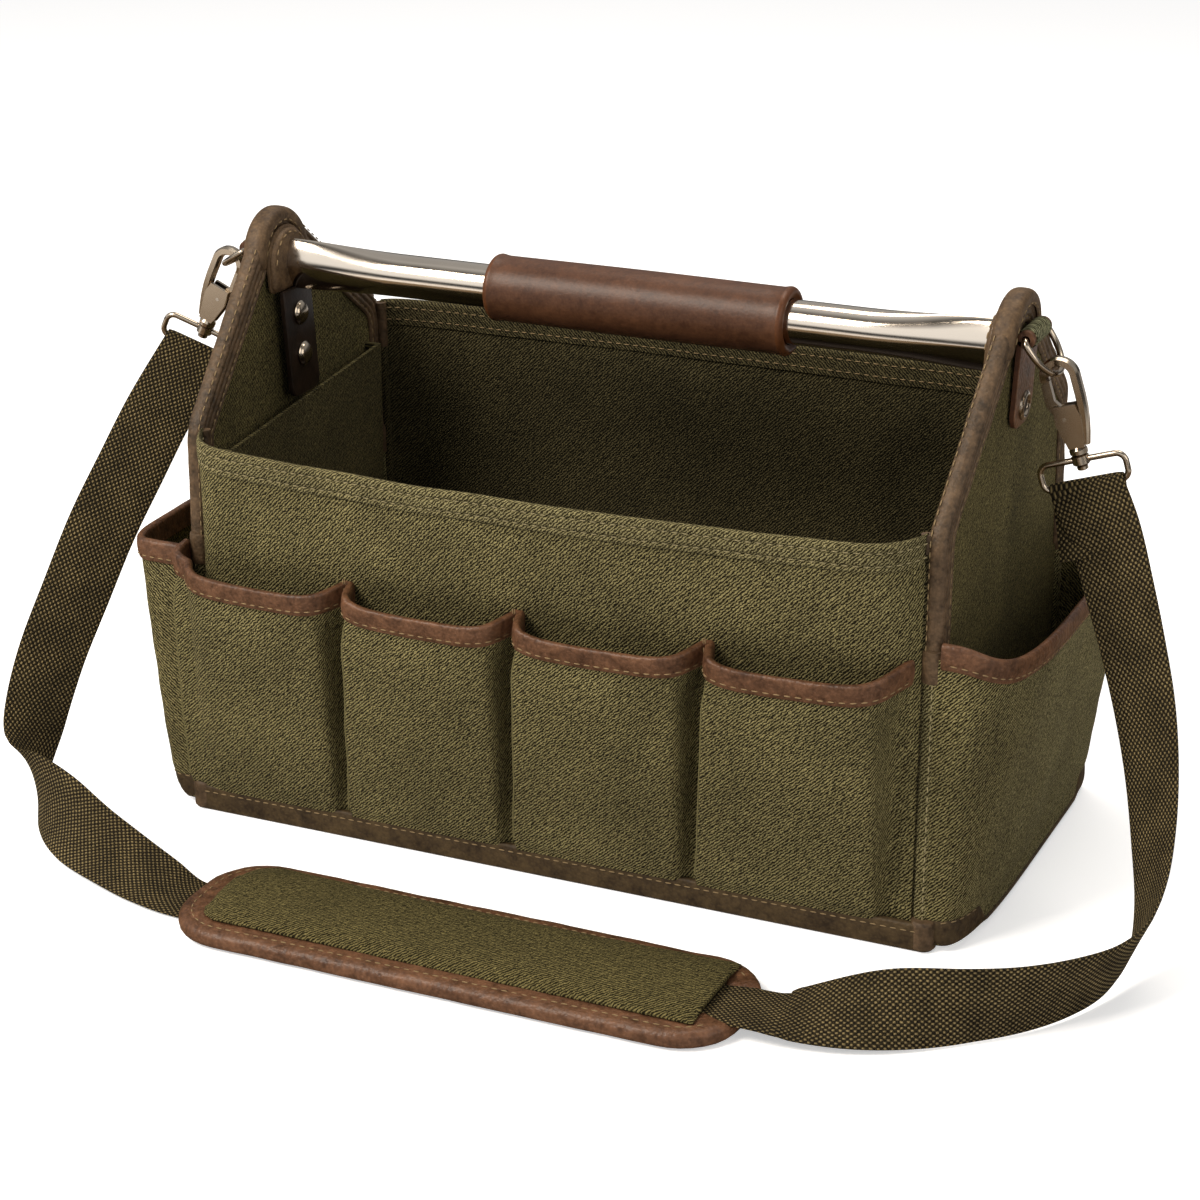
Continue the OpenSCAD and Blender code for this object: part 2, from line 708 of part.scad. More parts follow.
// Snap hook: a bowl over the ring, a spine, a slotted body with the gate in it, and a collar
bowl_bore = 5;
bowl_bar = 2.4;
bowl_r = bowl_bore + bowl_bar;
bowl_room = 1.5;
bowl_z = ring_wire + bowl_room - bowl_bore;
hook_deep = 7;
body_top = -15;
body_foot = -37;
body_half = 7.5;
body_neck = 4.2;
mouth_drop = 5;
slot_half = 1.9;
slot_floor = 7;
gate_pin_z = -22;
gate_pin_x = -2;
gate_pin_r = 1;
gate_half = slot_half - run;
pin_play = 0.03;
gate_play = 0.15;
collar_high = 3;
collar_foot = body_foot - collar_high;
swivel_r = 1.9;
swivel_head = 1;
hub_high = 5;
hub_foot = collar_foot - run - hub_high;
hub_r = 4.2;

// The hook's mouth faces the bag, on its -X side
module hook_shape(side) {
    at_hook(side) difference() {
        union() {
            translate([0, 0, bowl_z]) rotate([90, 0, 0]) rotate_extrude(angle = 180)
                translate([bowl_r, 0]) square([2 * bowl_bar, hook_deep - 2 * seat], center = true);
            translate([bowl_bore, -hook_deep / 2 + seat, body_top - over])
                cube([2 * bowl_bar, hook_deep - 2 * seat, bowl_z - body_top + over]);
            rotate([90, 0, 0]) translate([0, 0, -hook_deep / 2]) linear_extrude(hook_deep)
                polygon([[-body_half, body_top - mouth_drop], [-body_half + bowl_bar, body_top],
                    [bowl_bore + 2 * bowl_bar, body_top], [body_neck, body_foot], [-body_neck, body_foot]]);
            translate([0, 0, collar_foot]) cylinder(h = body_foot - collar_foot + over, r = body_neck);
            translate([0, 0, hub_foot - run]) cylinder(h = collar_foot - hub_foot + run + over, r = swivel_r);
            translate([0, 0, hub_foot - run - swivel_head])
                cylinder(h = swivel_head, r = swivel_r + swivel_head);
        }
        translate([-body_half - over, -slot_half, body_foot + slot_floor])
            cube([2 * body_half, 2 * slot_half, body_top - body_foot]);
        translate([gate_pin_x, hook_deep, gate_pin_z]) rotate([90, 0, 0])
            cylinder(h = 2 * hook_deep, r = gate_pin_r);
    }
}

module left_hook() { color(nickel) end_side(-1) hook_shape(-1); }
module right_hook() { color(nickel) end_side(1) hook_shape(1); }

// Gate: a lever on a pin that closes the mouth, with a spring behind it
gate_bar = 2.2;
gate_sweep = norm([gate_bar, gate_bar]);
gate_top = bowl_z - 2 * run;

module gate_shape(side) {
    at_hook(side) difference() {
        rotate([90, 0, 0]) translate([0, 0, -gate_half]) linear_extrude(2 * gate_half) polygon([
            [-bowl_r, gate_top], [-bowl_r - bowl_bar, gate_top - gate_bar], [-bowl_r - bowl_bar, body_top],
            [gate_pin_x - gate_bar, gate_pin_z - gate_bar], [gate_pin_x + gate_bar, gate_pin_z - gate_bar],
            [gate_pin_x + gate_bar, gate_pin_z + gate_bar], [-bowl_bore - seat, body_top + gate_bar],
            [-bowl_bore - seat, gate_top]]);
        translate([gate_pin_x, hook_deep, gate_pin_z]) rotate([90, 0, 0])
            cylinder(h = 2 * hook_deep, r = gate_pin_r + gate_play);
    }
}

module left_gate() { color(nickel) end_side(-1) gate_shape(-1); }
module right_gate() { color(nickel) end_side(1) gate_shape(1); }

module gate_pin_shape(side) {
    at_hook(side) translate([gate_pin_x, hook_deep / 2, gate_pin_z]) rotate([90, 0, 0])
        cylinder(h = hook_deep, r = gate_pin_r - pin_play);
}

module left_gate_pin() { color(steel) end_side(-1) gate_pin_shape(-1); }
module right_gate_pin() { color(steel) end_side(1) gate_pin_shape(1); }

// Leaf spring in the slot behind the gate
spring_thick = 0.5;
module gate_spring_shape(side) {
    foot = body_foot + slot_floor + seat;
    top = gate_pin_z - gate_sweep - seat;
    at_hook(side) translate([-spring_thick, -gate_half, foot]) cube([spring_thick, 2 * gate_half, top - foot]);
}

module left_gate_spring() { color(steel) end_side(-1) gate_spring_shape(-1); }
module right_gate_spring() { color(steel) end_side(1) gate_spring_shape(1); }

// Swivel eye: a hub on the hook's pin and a wire loop for the webbing
eye_room = 1.4;
eye_half = webbing_width / 2 + eye_wire + eye_room;
eye_high = 13;
eye_corner = 4.5;
eye_top = hub_foot + hub_high / 2;
eye_bar = eye_top - eye_high;

module eye_shape(side) {
    at_hook(side) rotate([0, 0, pick(side, eye_turn)]) {
        difference() {
            union() {
                translate([0, 0, hub_foot]) cylinder(h = hub_high, r = hub_r);
                for (x = [-1, 1]) rod([x * (eye_half - eye_corner), 0, eye_top], [0, 0, eye_top], eye_wire);
            }
            translate([0, 0, hub_foot - over])
                cylinder(h = hub_high + 2 * over, r = swivel_r + seat);
        }
        for (x = [-1, 1]) {
            rod([x * eye_half, 0, eye_bar + eye_corner], [x * eye_half, 0, eye_top - eye_corner], eye_wire);
            for (z = [-1, 1])
                translate([x * (eye_half - eye_corner), 0,
                    (z > 0 ? eye_top - eye_corner : eye_bar + eye_corner)])
                    rotate([90, 0, 0]) rotate([0, 0, x > 0 ? (z > 0 ? 0 : -90) : (z > 0 ? 90 : 180)])
                    rotate_extrude(angle = 90) translate([eye_corner, 0]) circle(eye_wire, $fn = 24);
        }
        rod([eye_corner - eye_half, 0, eye_bar], [eye_half - eye_corner, 0, eye_bar], eye_wire);
    }
}

module left_eye() { color(nickel) end_side(-1) eye_shape(-1); }
module right_eye() { color(nickel) end_side(1) eye_shape(1); }

// Webbing. Each row of the route is a point of its middle line and the way its width lies,
// towards the edge that is outermost at the eyes and at the back in the pad.
webbing_pad_z = 7.9;
ROUTE = [
    [249, -10, 186, 0.92, 0.00, 0.40],
    [260, -20, 163, 0.90, -0.10, 0.42],
    [271, -31, 139, 0.86, -0.20, 0.46],
    [281, -42, 114, 0.82, -0.28, 0.50],
    [289, -54, 88, 0.76, -0.40, 0.52],
    [295, -68, 62, 0.66, -0.50, 0.56],
    [299, -84, 40, 0.50, -0.56, 0.66],
    [299, -102, 26, 0.34, -0.54, 0.76],
    [293, -123, 20, 0.20, -0.42, 0.88],
    [281, -144, 19, 0.10, -0.28, 0.95],
    [263, -164, 19, 0.04, -0.12, 0.99],
    [240, -180, 19, 0.06, 0.14, 0.98],
    [214, -190, 17, 0.10, 0.55, 0.83],
    [190, -196, 13, 0.06, 0.84, 0.54],
    [168, -199, 9, 0.02, 0.98, 0.20],
    [158, -200, 7.9, 0, 1, 0],
    [120, -200, 7.9, 0, 1, 0],
    [60, -200, 7.9, 0, 1, 0],
    [0, -200, 7.9, 0, 1, 0],
    [-60, -200, 7.9, 0, 1, 0],
    [-84, -200, 7.6, 0, 1, 0],
    [-94, -200, 4.6, 0, 1, 0],
    [-104, -200, 1.7, 0, 1, 0],
    [-128, -200, 1.4, 0, 1, 0],
    [-152, -199, 1.4, 0.02, 1, 0],
    [-172, -195, 5, 0.15, 0.96, 0.20],
    [-196, -188, 9, 0.20, 0.90, 0.38],
    [-221, -179, 13, 0.25, 0.74, 0.62],
    [-243, -167, 17, 0.24, 0.48, 0.84],
    [-261, -155, 19, 0.12, 0.14, 0.98],
    [-275, -143, 22, -0.10, -0.28, 0.94],
    [-282, -133, 32, -0.30, -0.50, 0.80],
    [-283, -124, 50, -0.50, -0.58, 0.62],
    [-280, -111, 76, -0.65, -0.55, 0.52],
    [-275, -93, 104, -0.74, -0.51, 0.45],
    [-270, -72, 134, -0.80, -0.42, 0.42],
    [-264, -50, 161, -0.84, -0.36, 0.40],
    [-258, -28, 187, -0.87, -0.30, 0.38]
];

// Middle of each eye's bar, and the way it points
function bar_place(side) = let (p = hook_place(side), a = pick(side, hook_tilt))
    [side * (p.x - eye_bar * sin(a)), 0, p.y + eye_bar * cos(a)];
function bar_way(side) = let (a = pick(side, hook_tilt), t = pick(side, eye_turn))
    [side * cos(t) * cos(a), sin(t), cos(t) * sin(a)];

// The webbing folds round the bar, and its tail lies behind it
wrap_r = eye_wire + run + webbing_thick / 2;
wrap_steps = 6;
tail_length = 34;
function wrap(side, ahead) =
    let (b = bar_place(side), w = bar_way(side), down = unit(ahead - b - ((ahead - b) * w) * w),
        out = side * cross(down, w))
    concat(
        [for (s = [1, 0.4]) concat(b + tail_length * s * down - out * mix(wrap_r, webbing_thick, s), w)],
        [for (i = [0:wrap_steps]) let (a = 180 * i / wrap_steps)
            concat(b - wrap_r * (cos(a) * out + sin(a) * down), w)]);
function head3(v) = [v[0], v[1], v[2]];
function tail3(v) = [v[3], v[4], v[5]];
right_wrap = wrap(1, head3(ROUTE[0]));
left_wrap = wrap(-1, head3(ROUTE[len(ROUTE) - 1]));
route = concat(right_wrap, ROUTE, [for (i = [len(left_wrap) - 1:-1:0]) left_wrap[i]]);

function webbing_ring(i) =
    let (p = head3(route[i]), before = head3(route[max(i - 1, 0)]),
        after = head3(route[min(i + 1, len(route) - 1)]), ahead = unit(after - before),
        w0 = tail3(route[i]), w = unit(w0 - (w0 * ahead) * ahead), n = cross(ahead, w),
        half = webbing_width / 2, t = webbing_thick / 2)
    [for (c = [[1, 0.5], [0.96, 1], [-0.96, 1], [-1, 0.5], [-1, -0.5], [-0.96, -1], [0.96, -1], [1, -0.5]])
        p + c[0] * half * w + c[1] * t * n];

module strap_webbing() {
    rings = [for (i = [0:len(route) - 1]) webbing_ring(i)];
    sides = len(rings[0]);
    last = (len(rings) - 1) * sides;
    walls = [for (i = [0:len(rings) - 2], k = [0:sides - 1])
        let (a = i * sides + k, b = i * sides + (k + 1) % sides)
        each [[b, a, b + sides], [b + sides, a, a + sides]]];
    caps = [[for (k = [0:sides - 1]) k], [for (k = [sides - 1:-1:0]) last + k]];
    color(olive_dark) polyhedron([for (r = rings) each r], concat(walls, caps));
}

// Shoulder pad: a leather base with a slot that the webbing comes up through, a rolled leather
// edge and a crowned canvas top. The webbing runs between the base and the top.
pad_x = 3;
pad_y = -200;
pad_corner = 30;
pad_roll = 5;
pad_edge_high = 9.5;
pad_under = 0.4;
groove_half = webbing_width / 2 + 2 * run;
groove_high = webbing_thick + 3 * run;
// Where the webbing dips through the base, and how far the cut runs past it
dip_from = -78;
dip_to = -108;
slot_from = dip_from + pad_travel;
slot_to = dip_to - pad_travel;

module pad_cuts() {
    translate([slot_to, pad_y - groove_half, -over])
        cube([slot_from - slot_to, 2 * groove_half, 3 * pad_edge_high]);
    translate([pad_x - pad_length, pad_y - groove_half, -over])
        cube([slot_to - pad_x + pad_length + over, 2 * groove_half, groove_high + over]);
}

module pad_base() {
    color(brown) difference() {
        translate([pad_x, pad_y, 0])
            round_rect(pad_length - 2 * (pad_roll + seat), pad_width - 2 * (pad_roll + seat),
                pad_corner - pad_roll, pad_base_thick);
        pad_cuts();
    }
}

module pad_binding() {
    color(brown) difference() {
        translate([pad_x, pad_y, pad_under])
            round_rect(pad_length, pad_width, pad_corner, pad_edge_high - pad_under);
        translate([pad_x, pad_y, -over])
            round_rect(pad_length - 2 * pad_roll, pad_width - 2 * pad_roll, pad_corner - pad_roll,
                pad_edge_high + 2 * over);
        translate([pad_x - pad_length, pad_y - groove_half, -over])
            cube([pad_length, 2 * groove_half, groove_high + over]);
        translate([pad_x, pad_y - groove_half, pad_base_thick])
            cube([pad_length, 2 * groove_half, pad_edge_high]);
    }
}

// Crowned top: thick along the middle, drawn in at the rounded left end and open at the right
cushion_high = 13.5;
cushion_edge = 8.6;
cushion_lift = webbing_pad_z + webbing_thick / 2 + run;
cushion_half = pad_width / 2 - pad_roll - seat;
cushion_from = pad_x - pad_length / 2 + pad_roll + 2 * seat;
cushion_end_gap = 4.2;
cushion_to = pad_x + pad_length / 2 - pad_roll - cushion_end_gap;
cushion_rows = 16;
cushion_end_crown_share = 0.65;
groove_share = groove_half / cushion_half;
lift_share = (groove_half + 2 * run) / cushion_half;
// Columns across the pad, as shares of its half width
column_shares = [-1, -0.96, -0.82, -lift_share, -groove_share, -0.3, 0,
    0.3, groove_share, lift_share, 0.82, 0.96, 1];

// Half the width between the rolled edges, at a place along the pad
function cushion_room(x) =
    let (r = pad_corner - pad_roll, d = pad_length / 2 - pad_roll - abs(x - pad_x))
    cushion_half - (d < r ? r - sqrt(r * r - (r - d) * (r - d)) : 0);

function cushion_point(u, v, top) =
    let (x = mix(cushion_from, cushion_to, u), room = cushion_room(x), wide = x > slot_to - run,
        edge = lift_share * cushion_half,
        y = !wide ? v * room : abs(v) <= lift_share ? v * cushion_half
            : sign(v) * mix(edge, room, (abs(v) - lift_share) / (1 - lift_share)),
        end_crown = 1 - (1 - cushion_end_crown_share) * pow(abs(2 * u - 1), 10),
        z = top ? mix(cushion_edge, cushion_high, (1 - pow(abs(v), 4)) * end_crown)
            : wide && abs(v) <= groove_share ? cushion_lift : pad_base_thick + seat)
    [x, pad_y + y, z];

module pad_cushion() {
    us = [for (k = [0:cushion_rows]) (1 - cos(180 * k / cushion_rows)) / 2];
    function rows(top) = [for (u = us) [for (v = column_shares) cushion_point(u, v, top)]];
    color(olive) sheet(rows(false), rows(true));
}

bottom_panel();
base_board();
bottom_band();
front_panel();
back_panel();
left_end_panel();
right_end_panel();
front_hem();
back_hem();
left_end_binding();
right_end_binding();
left_apex_cap();
right_apex_cap();
corner_piping();
front_pocket(0);  // front_pocket_1
front_pocket(1);  // front_pocket_2
front_pocket(2);  // front_pocket_3
front_pocket(3);  // front_pocket_4
front_pocket_strip(0);  // front_pocket_strip_1
front_pocket_strip(1);  // front_pocket_strip_2
front_pocket_strip(2);  // front_pocket_strip_3
front_pocket_strip(3);  // front_pocket_strip_4
back_pocket(0);  // back_pocket_1
back_pocket(1);  // back_pocket_2
back_pocket(2);  // back_pocket_3
back_pocket(3);  // back_pocket_4
back_pocket_strips();
left_end_pocket();
right_end_pocket();
left_end_pocket_strip();
right_end_pocket_strip();
left_inner_pocket();
right_inner_pocket();
handle_tube();
grip_sleeve();
left_bracket();
right_bracket();
left_inner_strap();
right_inner_strap();
left_outer_tab();
right_outer_tab();
handle_rivets();
left_ring();
right_ring();
left_hook();
right_hook();
left_gate();
right_gate();
left_gate_pin();
right_gate_pin();
left_gate_spring();
right_gate_spring();
left_eye();
right_eye();
strap_webbing();
pad_base();
pad_binding();
pad_cushion();
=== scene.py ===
import math
import bmesh
import bpy
import numpy as np
from mathutils import Matrix, Vector, noise


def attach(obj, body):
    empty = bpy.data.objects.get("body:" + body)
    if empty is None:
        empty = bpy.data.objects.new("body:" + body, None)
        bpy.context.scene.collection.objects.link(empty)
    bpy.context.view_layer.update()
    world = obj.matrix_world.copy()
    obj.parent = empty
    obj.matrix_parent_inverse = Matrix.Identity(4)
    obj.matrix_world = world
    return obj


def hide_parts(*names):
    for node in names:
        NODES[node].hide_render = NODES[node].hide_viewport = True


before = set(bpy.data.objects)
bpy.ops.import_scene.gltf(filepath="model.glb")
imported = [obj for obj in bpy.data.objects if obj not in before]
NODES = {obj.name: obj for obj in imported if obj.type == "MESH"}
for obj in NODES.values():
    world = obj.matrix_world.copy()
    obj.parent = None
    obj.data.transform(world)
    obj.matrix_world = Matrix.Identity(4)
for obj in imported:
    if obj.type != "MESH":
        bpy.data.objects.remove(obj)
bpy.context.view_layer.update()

# Shapes are worked out in millimetres, in the part's own frame, and every mesh is made in metres.
MM = 0.001
scene = bpy.context.scene

# Measures of the part
BASE_X, BASE_Y = 202.0, 107.0  # half sizes of the leather round the foot
END_FOOT, CORNER_FOOT = 198.5, 103.5
END_LEAN, CORNER_LEAN, GABLE_FLARE = 0.5, 7.0, 5.0
FRONT_TOP, BACK_TOP, GABLE_TOP = 206.0, 222.0, 294.0
FRONT_BELLY, BACK_BELLY = 34.0, 10.0
END_PANEL, BINDING_PROUD, SEAT = 6.0, 1.5, 0.3
CANVAS, POCKET_CANVAS, STRIP_PROUD = 3.0, 2.0, 1.1
HEM_HEIGHT, BINDING_WIDTH = 14.0, 14.0
WALL_FOOT, BINDING_FOOT, PIPING_R = 2.8, 140.0, 4.5
POCKET_FOOT, STRIP_FOOT, POCKET_TOP = 14.3, 131.5, 143.0
SEAMS = [share * BASE_X for share in (-1, -0.48, -0.02, 0.46, 0.93)]
HANDLE_Z, APEX_Z, APEX_R = 267.0, 270.0, 24.0
TUBE_R, GRIP_MIDDLE, GRIP_LENGTH, GRIP_R = 11.0, 8.0, 160.0, 17.0
SIDES = ((1, "right"), (-1, "left"))
CORNERS = [(sx, sy) for sx in (-1, 1) for sy in (-1, 1)]
TILT = math.atan(GABLE_FLARE / (GABLE_TOP - FRONT_TOP))
PAD_X, PAD_Y, PAD_LENGTH, PAD_WIDTH = 3.0, -200.0, 290.0, 78.0


def mix(a, b, share):
    return a + (b - a) * share


def ease(value, low, high):
    """0 below low, 1 above high, and smooth between."""
    t = np.clip((value - low) / (high - low), 0, 1)
    return t * t * (3 - 2 * t)


def unit(v):
    v = np.asarray(v, float)
    return v / np.maximum(np.linalg.norm(v, axis=-1, keepdims=True), 1e-9)


def power(value, exponent):
    """A power that keeps the sign."""
    return np.sign(value) * np.abs(value) ** exponent


def xyz(x, y, z):
    """Points from coordinates of shapes that fit together."""
    return np.stack(np.broadcast_arrays(x, y, z), -1)


def rough(points, scale, seed=0.0):
    """Smooth noise from -1 to 1 at points in millimetres, with features about scale across."""
    spots = np.asarray(points, float) / scale + [seed, seed, -seed]
    return np.array([noise.noise(Vector(spot)) for spot in spots.reshape(-1, 3)]).reshape(spots.shape[:-1])


def end_x(z):
    """Outer face of an end panel at a height: it leans in up to the front rim and spreads above it."""
    low = END_FOOT - END_LEAN * z / FRONT_TOP
    high = END_FOOT - END_LEAN + GABLE_FLARE * (z - FRONT_TOP) / (GABLE_TOP - FRONT_TOP)
    return np.where(z < FRONT_TOP, low, high)


def corner_y(z):
    """Half the bag's depth at its corners, at a height."""
    return CORNER_FOOT - CORNER_LEAN * z / FRONT_TOP


def wall_half(z):
    """Half the length of the walls between the end panels, at a height."""
    return END_FOOT - END_LEAN * z / FRONT_TOP - END_PANEL - BINDING_PROUD - SEAT


def wall_out(x, z, side):
    """How far the front (side 1) or back (side -1) wall stands out from the middle plane."""
    belly, top = (FRONT_BELLY, FRONT_TOP) if side > 0 else (BACK_BELLY, BACK_TOP)
    share = np.minimum(1, np.abs(x) / wall_half(z))
    shape = 0.63 * (1 - share ** 24) + 0.37 * (1 - share ** 2)
    rise = np.maximum(0, z - WALL_FOOT) / (top - WALL_FOOT)
    return corner_y(z) + belly * rise ** 1.4 * shape


# Meshes
def join(parts):
    """Several parts, each (points, faces, uv), as one."""
    points, faces, uvs, shift = [], [], [], 0
    for p, f, uv in parts:
        points.append(p)
        uvs.append(uv)
        faces += [tuple(i + shift for i in face) for face in f]
        shift += len(p)
    return np.vstack(points), faces, np.vstack(uvs)


def piece(name, part, mat, body="root", nodes=(), sharp=48):
    """A mesh piece that rides on a body, takes its material and hides the CAD nodes it stands for."""
    points, faces, uv = join(part) if isinstance(part, list) else part
    mesh = bpy.data.meshes.new(name)
    mesh.from_pydata((points * MM).tolist(), [], faces)
    index = np.empty(len(mesh.loops), int)
    mesh.loops.foreach_get("vertex_index", index)
    mesh.uv_layers.new(name="cloth").data.foreach_set("uv", (uv * MM)[index].ravel())
    mesh.materials.append(mat)
    work = bmesh.new()
    work.from_mesh(mesh)
    bmesh.ops.recalc_face_normals(work, faces=work.faces)
    work.to_mesh(mesh)
    work.free()
    mesh.shade_smooth()
    mesh.set_sharp_from_angle(angle=math.radians(sharp))
    obj = bpy.data.objects.new(name, mesh)
    scene.collection.objects.link(obj)
    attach(obj, body)
    if nodes:
        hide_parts(*nodes)
    return obj


def second_material(obj, mat, chosen):
    """Gives another material to the faces that a test picks."""
    obj.data.materials.append(mat)
    for face in obj.data.polygons:
        if chosen(face):
            face.material_index = 1


def dress(node, mat):
    """Gives a CAD node its material, and returns the node."""
    NODES[node].data.materials.clear()
    NODES[node].data.materials.append(mat)
    return NODES[node]


def settle(obj):
    """Makes the shape that an object's modifiers give its plain mesh."""
    mesh = bpy.data.meshes.new_from_object(obj.evaluated_get(bpy.context.evaluated_depsgraph_get()))
    obj.modifiers.clear()
    obj.data = mesh


def lengths(points):
    """Running length along each row of a grid, or along one path."""
    step = np.linalg.norm(np.diff(points, axis=-2), axis=-1)
    return np.concatenate([np.zeros(step.shape[:-1] + (1,)), np.cumsum(step, axis=-1)], axis=-1)


def grid_faces(rows, cols, rows_close=False, cols_close=True):
    """Faces between a grid's points. Its rows and its columns may each close into a ring."""
    faces = []
    for r in range(rows if rows_close else rows - 1):
        for c in range(cols if cols_close else cols - 1):
            here, there, after = r * cols, (r + 1) % rows * cols, (c + 1) % cols
            faces.append((here + c, here + after, there + after, there + c))
    return faces


def skin(grid, closed=False, run=None):
    """A solid whose grid's rows each go round it. It closes on itself, or its ends are filled."""
    grid = np.asarray(grid, float)
    rows, cols = grid.shape[:2]
    faces = grid_faces(rows, cols, closed)
    if not closed:
        faces += [tuple(range(cols)), tuple(range((rows - 1) * cols, rows * cols))]
    run = lengths(grid[:, 0]) if run is None else run
    uv = np.stack([np.broadcast_to(run[:, None], (rows, cols)), lengths(grid)], -1)
    return grid.reshape(-1, 3), faces, uv.reshape(-1, 2)


def sheet(outer, inner, loop=False):
    """A closed sheet between two grids of points. A loop joins each row's end to its start."""
    outer, inner = np.asarray(outer, float), np.asarray(inner, float)
    rows, cols = outer.shape[:2]
    shift = rows * cols
    faces = grid_faces(rows, cols, cols_close=loop)
    faces += [tuple(i + shift for i in face[::-1]) for face in faces]
    border = [(r * cols + c, r * cols + (c + 1) % cols)
              for r in (0, rows - 1) for c in range(cols if loop else cols - 1)]
    if not loop:
        border += [(r * cols + c, (r + 1) * cols + c) for c in (0, cols - 1) for r in range(rows - 1)]
    faces += [(a, b, b + shift, a + shift) for a, b in border]
    u = lengths(outer)
    u = u - u[:, cols // 2][:, None]
    v = np.swapaxes(lengths(np.swapaxes(outer, 0, 1)), 0, 1)
    uv = np.stack([u, v], -1).reshape(-1, 2)
    return np.vstack([outer.reshape(-1, 3), inner.reshape(-1, 3)]), faces, np.vstack([uv, uv])


def sweep(path, side, up, section, closed=False):
    """A solid with a section, (M, 2) or (N, M, 2), along N points. Side and up span the section."""
    path = np.asarray(path, float)
    side, up = (np.broadcast_to(v, path.shape)[:, None] for v in (side, up))
    section = np.asarray(section, float)
    return skin(path[:, None] + section[..., :1] * side + section[..., 1:] * up, closed, lengths(path))


def arc(centre, r, start, end, count):
    """Points of an arc in a plane, from one angle in degrees to another. r may differ each way."""
    a = np.radians(np.linspace(start, end, count))
    return np.asarray(centre) + np.stack([np.cos(a), np.sin(a)], -1) * r


def ring_section(r, count=12):
    a = np.linspace(0, 2 * math.pi, count, endpoint=False)
    return r * np.stack([np.cos(a), np.sin(a)], -1)


def rounded(width, height, r, steps=4):
    """A rectangle with round corners, centred, as a closed section. r is one radius or four."""
    radii = r if isinstance(r, list) else [r] * 4
    quarters = zip([(1, 1), (-1, 1), (-1, -1), (1, -1)], radii)
    return np.vstack([arc((sx * (width / 2 - q), sy * (height / 2 - q)), q, 90 * k, 90 * (k + 1), steps + 1)
                      for k, ((sx, sy), q) in enumerate(quarters)])


def wire(path, r, count=12, closed=False):
    """A round wire along a path."""
    path = np.asarray(path, float)
    ahead = np.roll(path, -1, 0) - np.roll(path, 1, 0)
    if not closed:
        ahead[0], ahead[-1] = path[1] - path[0], path[-1] - path[-2]
    ahead = unit(ahead)
    side = [unit(np.cross(ahead[0], [0.31, 0.52, 0.79]))]
    for d in ahead[1:]:
        side.append(unit(side[-1] - d * (side[-1] @ d)))
    side = np.array(side)
    return sweep(path, side, np.cross(ahead, side), ring_section(r, count), closed)


def lathe(profile, centre, axis, count=32):
    """A closed solid turned about an axis. The profile's points are (along, radius)."""
    axis = unit(axis)
    side = unit(np.cross(axis, [0.2, 0.9, 0.3]))
    up = np.cross(axis, side)
    profile = np.asarray(profile, float)
    path = np.asarray(centre, float) + profile[:, :1] * axis
    return sweep(path, side, up, np.maximum(profile[:, 1], 0.01)[:, None, None] * ring_section(1, count))


def spline(points, step):
    """A smooth path through points of any width of row, with a point about every step."""
    p = np.asarray(points, float)
    p = np.vstack([2 * p[0] - p[1], p, 2 * p[-1] - p[-2]])
    out = []
    for i in range(1, len(p) - 2):
        count = max(1, int(round(np.linalg.norm(p[i + 1][:3] - p[i][:3]) / step)))
        for t in np.arange(count) / count:
            out.append(0.5 * (2 * p[i] + (p[i + 1] - p[i - 1]) * t
                              + (2 * p[i - 1] - 5 * p[i] + 4 * p[i + 1] - p[i + 2]) * t ** 2
                              + (3 * p[i] - 3 * p[i + 1] + p[i + 2] - p[i - 1]) * t ** 3))
    return np.array(out + [p[-2]])


def even(path, count):
    """The same path with evenly spaced points."""
    path = np.asarray(path, float)
    run = lengths(path)
    at = np.linspace(0, run[-1], count)
    return np.stack([np.interp(at, run, path[:, k]) for k in range(path.shape[1])], -1)


def fillet(points, radii, steps=8):
    """A polyline with its inner corners rounded."""
    points = [np.asarray(p, float) for p in points]
    out = [points[0]]
    for before, p, after, r in zip(points, points[1:], points[2:], radii):
        a, b = unit(before - p), unit(after - p)
        reach = r * math.tan((math.pi - math.acos(np.clip(a @ b, -1, 1))) / 2)
        start, end = p + a * reach, p + b * reach
        for t in np.linspace(0, 1, steps + 1):
            out.append((1 - t) ** 2 * start + 2 * t * (1 - t) * p + t * t * end)
    return np.array(out + [points[-1]])


# Materials
def colour(code):
    """A linear colour from a picture's hex code."""
    parts = [int(code[i:i + 2], 16) / 255 for i in (1, 3, 5)]
    return (*[c / 12.92 if c <= 0.04045 else ((c + 0.055) / 1.055) ** 2.4 for c in parts], 1.0)


def node_in(tree, kind, inputs=None, **settings):
    """Adds a node to a tree. An input takes a value or a link from another node's output."""
    made = tree.nodes.new(kind)
    for key, value in settings.items():
        setattr(made, key, value)
    for key, value in (inputs or {}).items():
        if isinstance(value, bpy.types.NodeSocket):
            tree.links.new(value, made.inputs[key])
        else:
            made.inputs[key].default_value = value
    return made


def add(mat, kind, inputs=None, **settings):
    """Adds a shader node to a material or to the world."""
    return node_in(mat.node_tree, "ShaderNode" + kind, inputs, **settings)


def calc(mat, kind, a, b=0.0, c=0.0):
    return add(mat, "Math", {0: a, 1: b, 2: c}, operation=kind).outputs[0]


def blend_colour(mat, share, a, b):
    return add(mat, "Mix", {0: share, 6: a, 7: b}, data_type="RGBA").outputs[2]


def scale_colour(mat, base, tone):
    return add(mat, "VectorMath", {0: base, "Scale": tone}, operation="SCALE").outputs[0]


def own_place(mat):
    return add(mat, "TexCoord").outputs["Object"]


def span(mat, value, low, high, to_low=0.0, to_high=1.0):
    return add(mat, "MapRange", {"Value": value, "From Min": low, "From Max": high, "To Min": to_low,
                                 "To Max": to_high}).outputs["Result"]


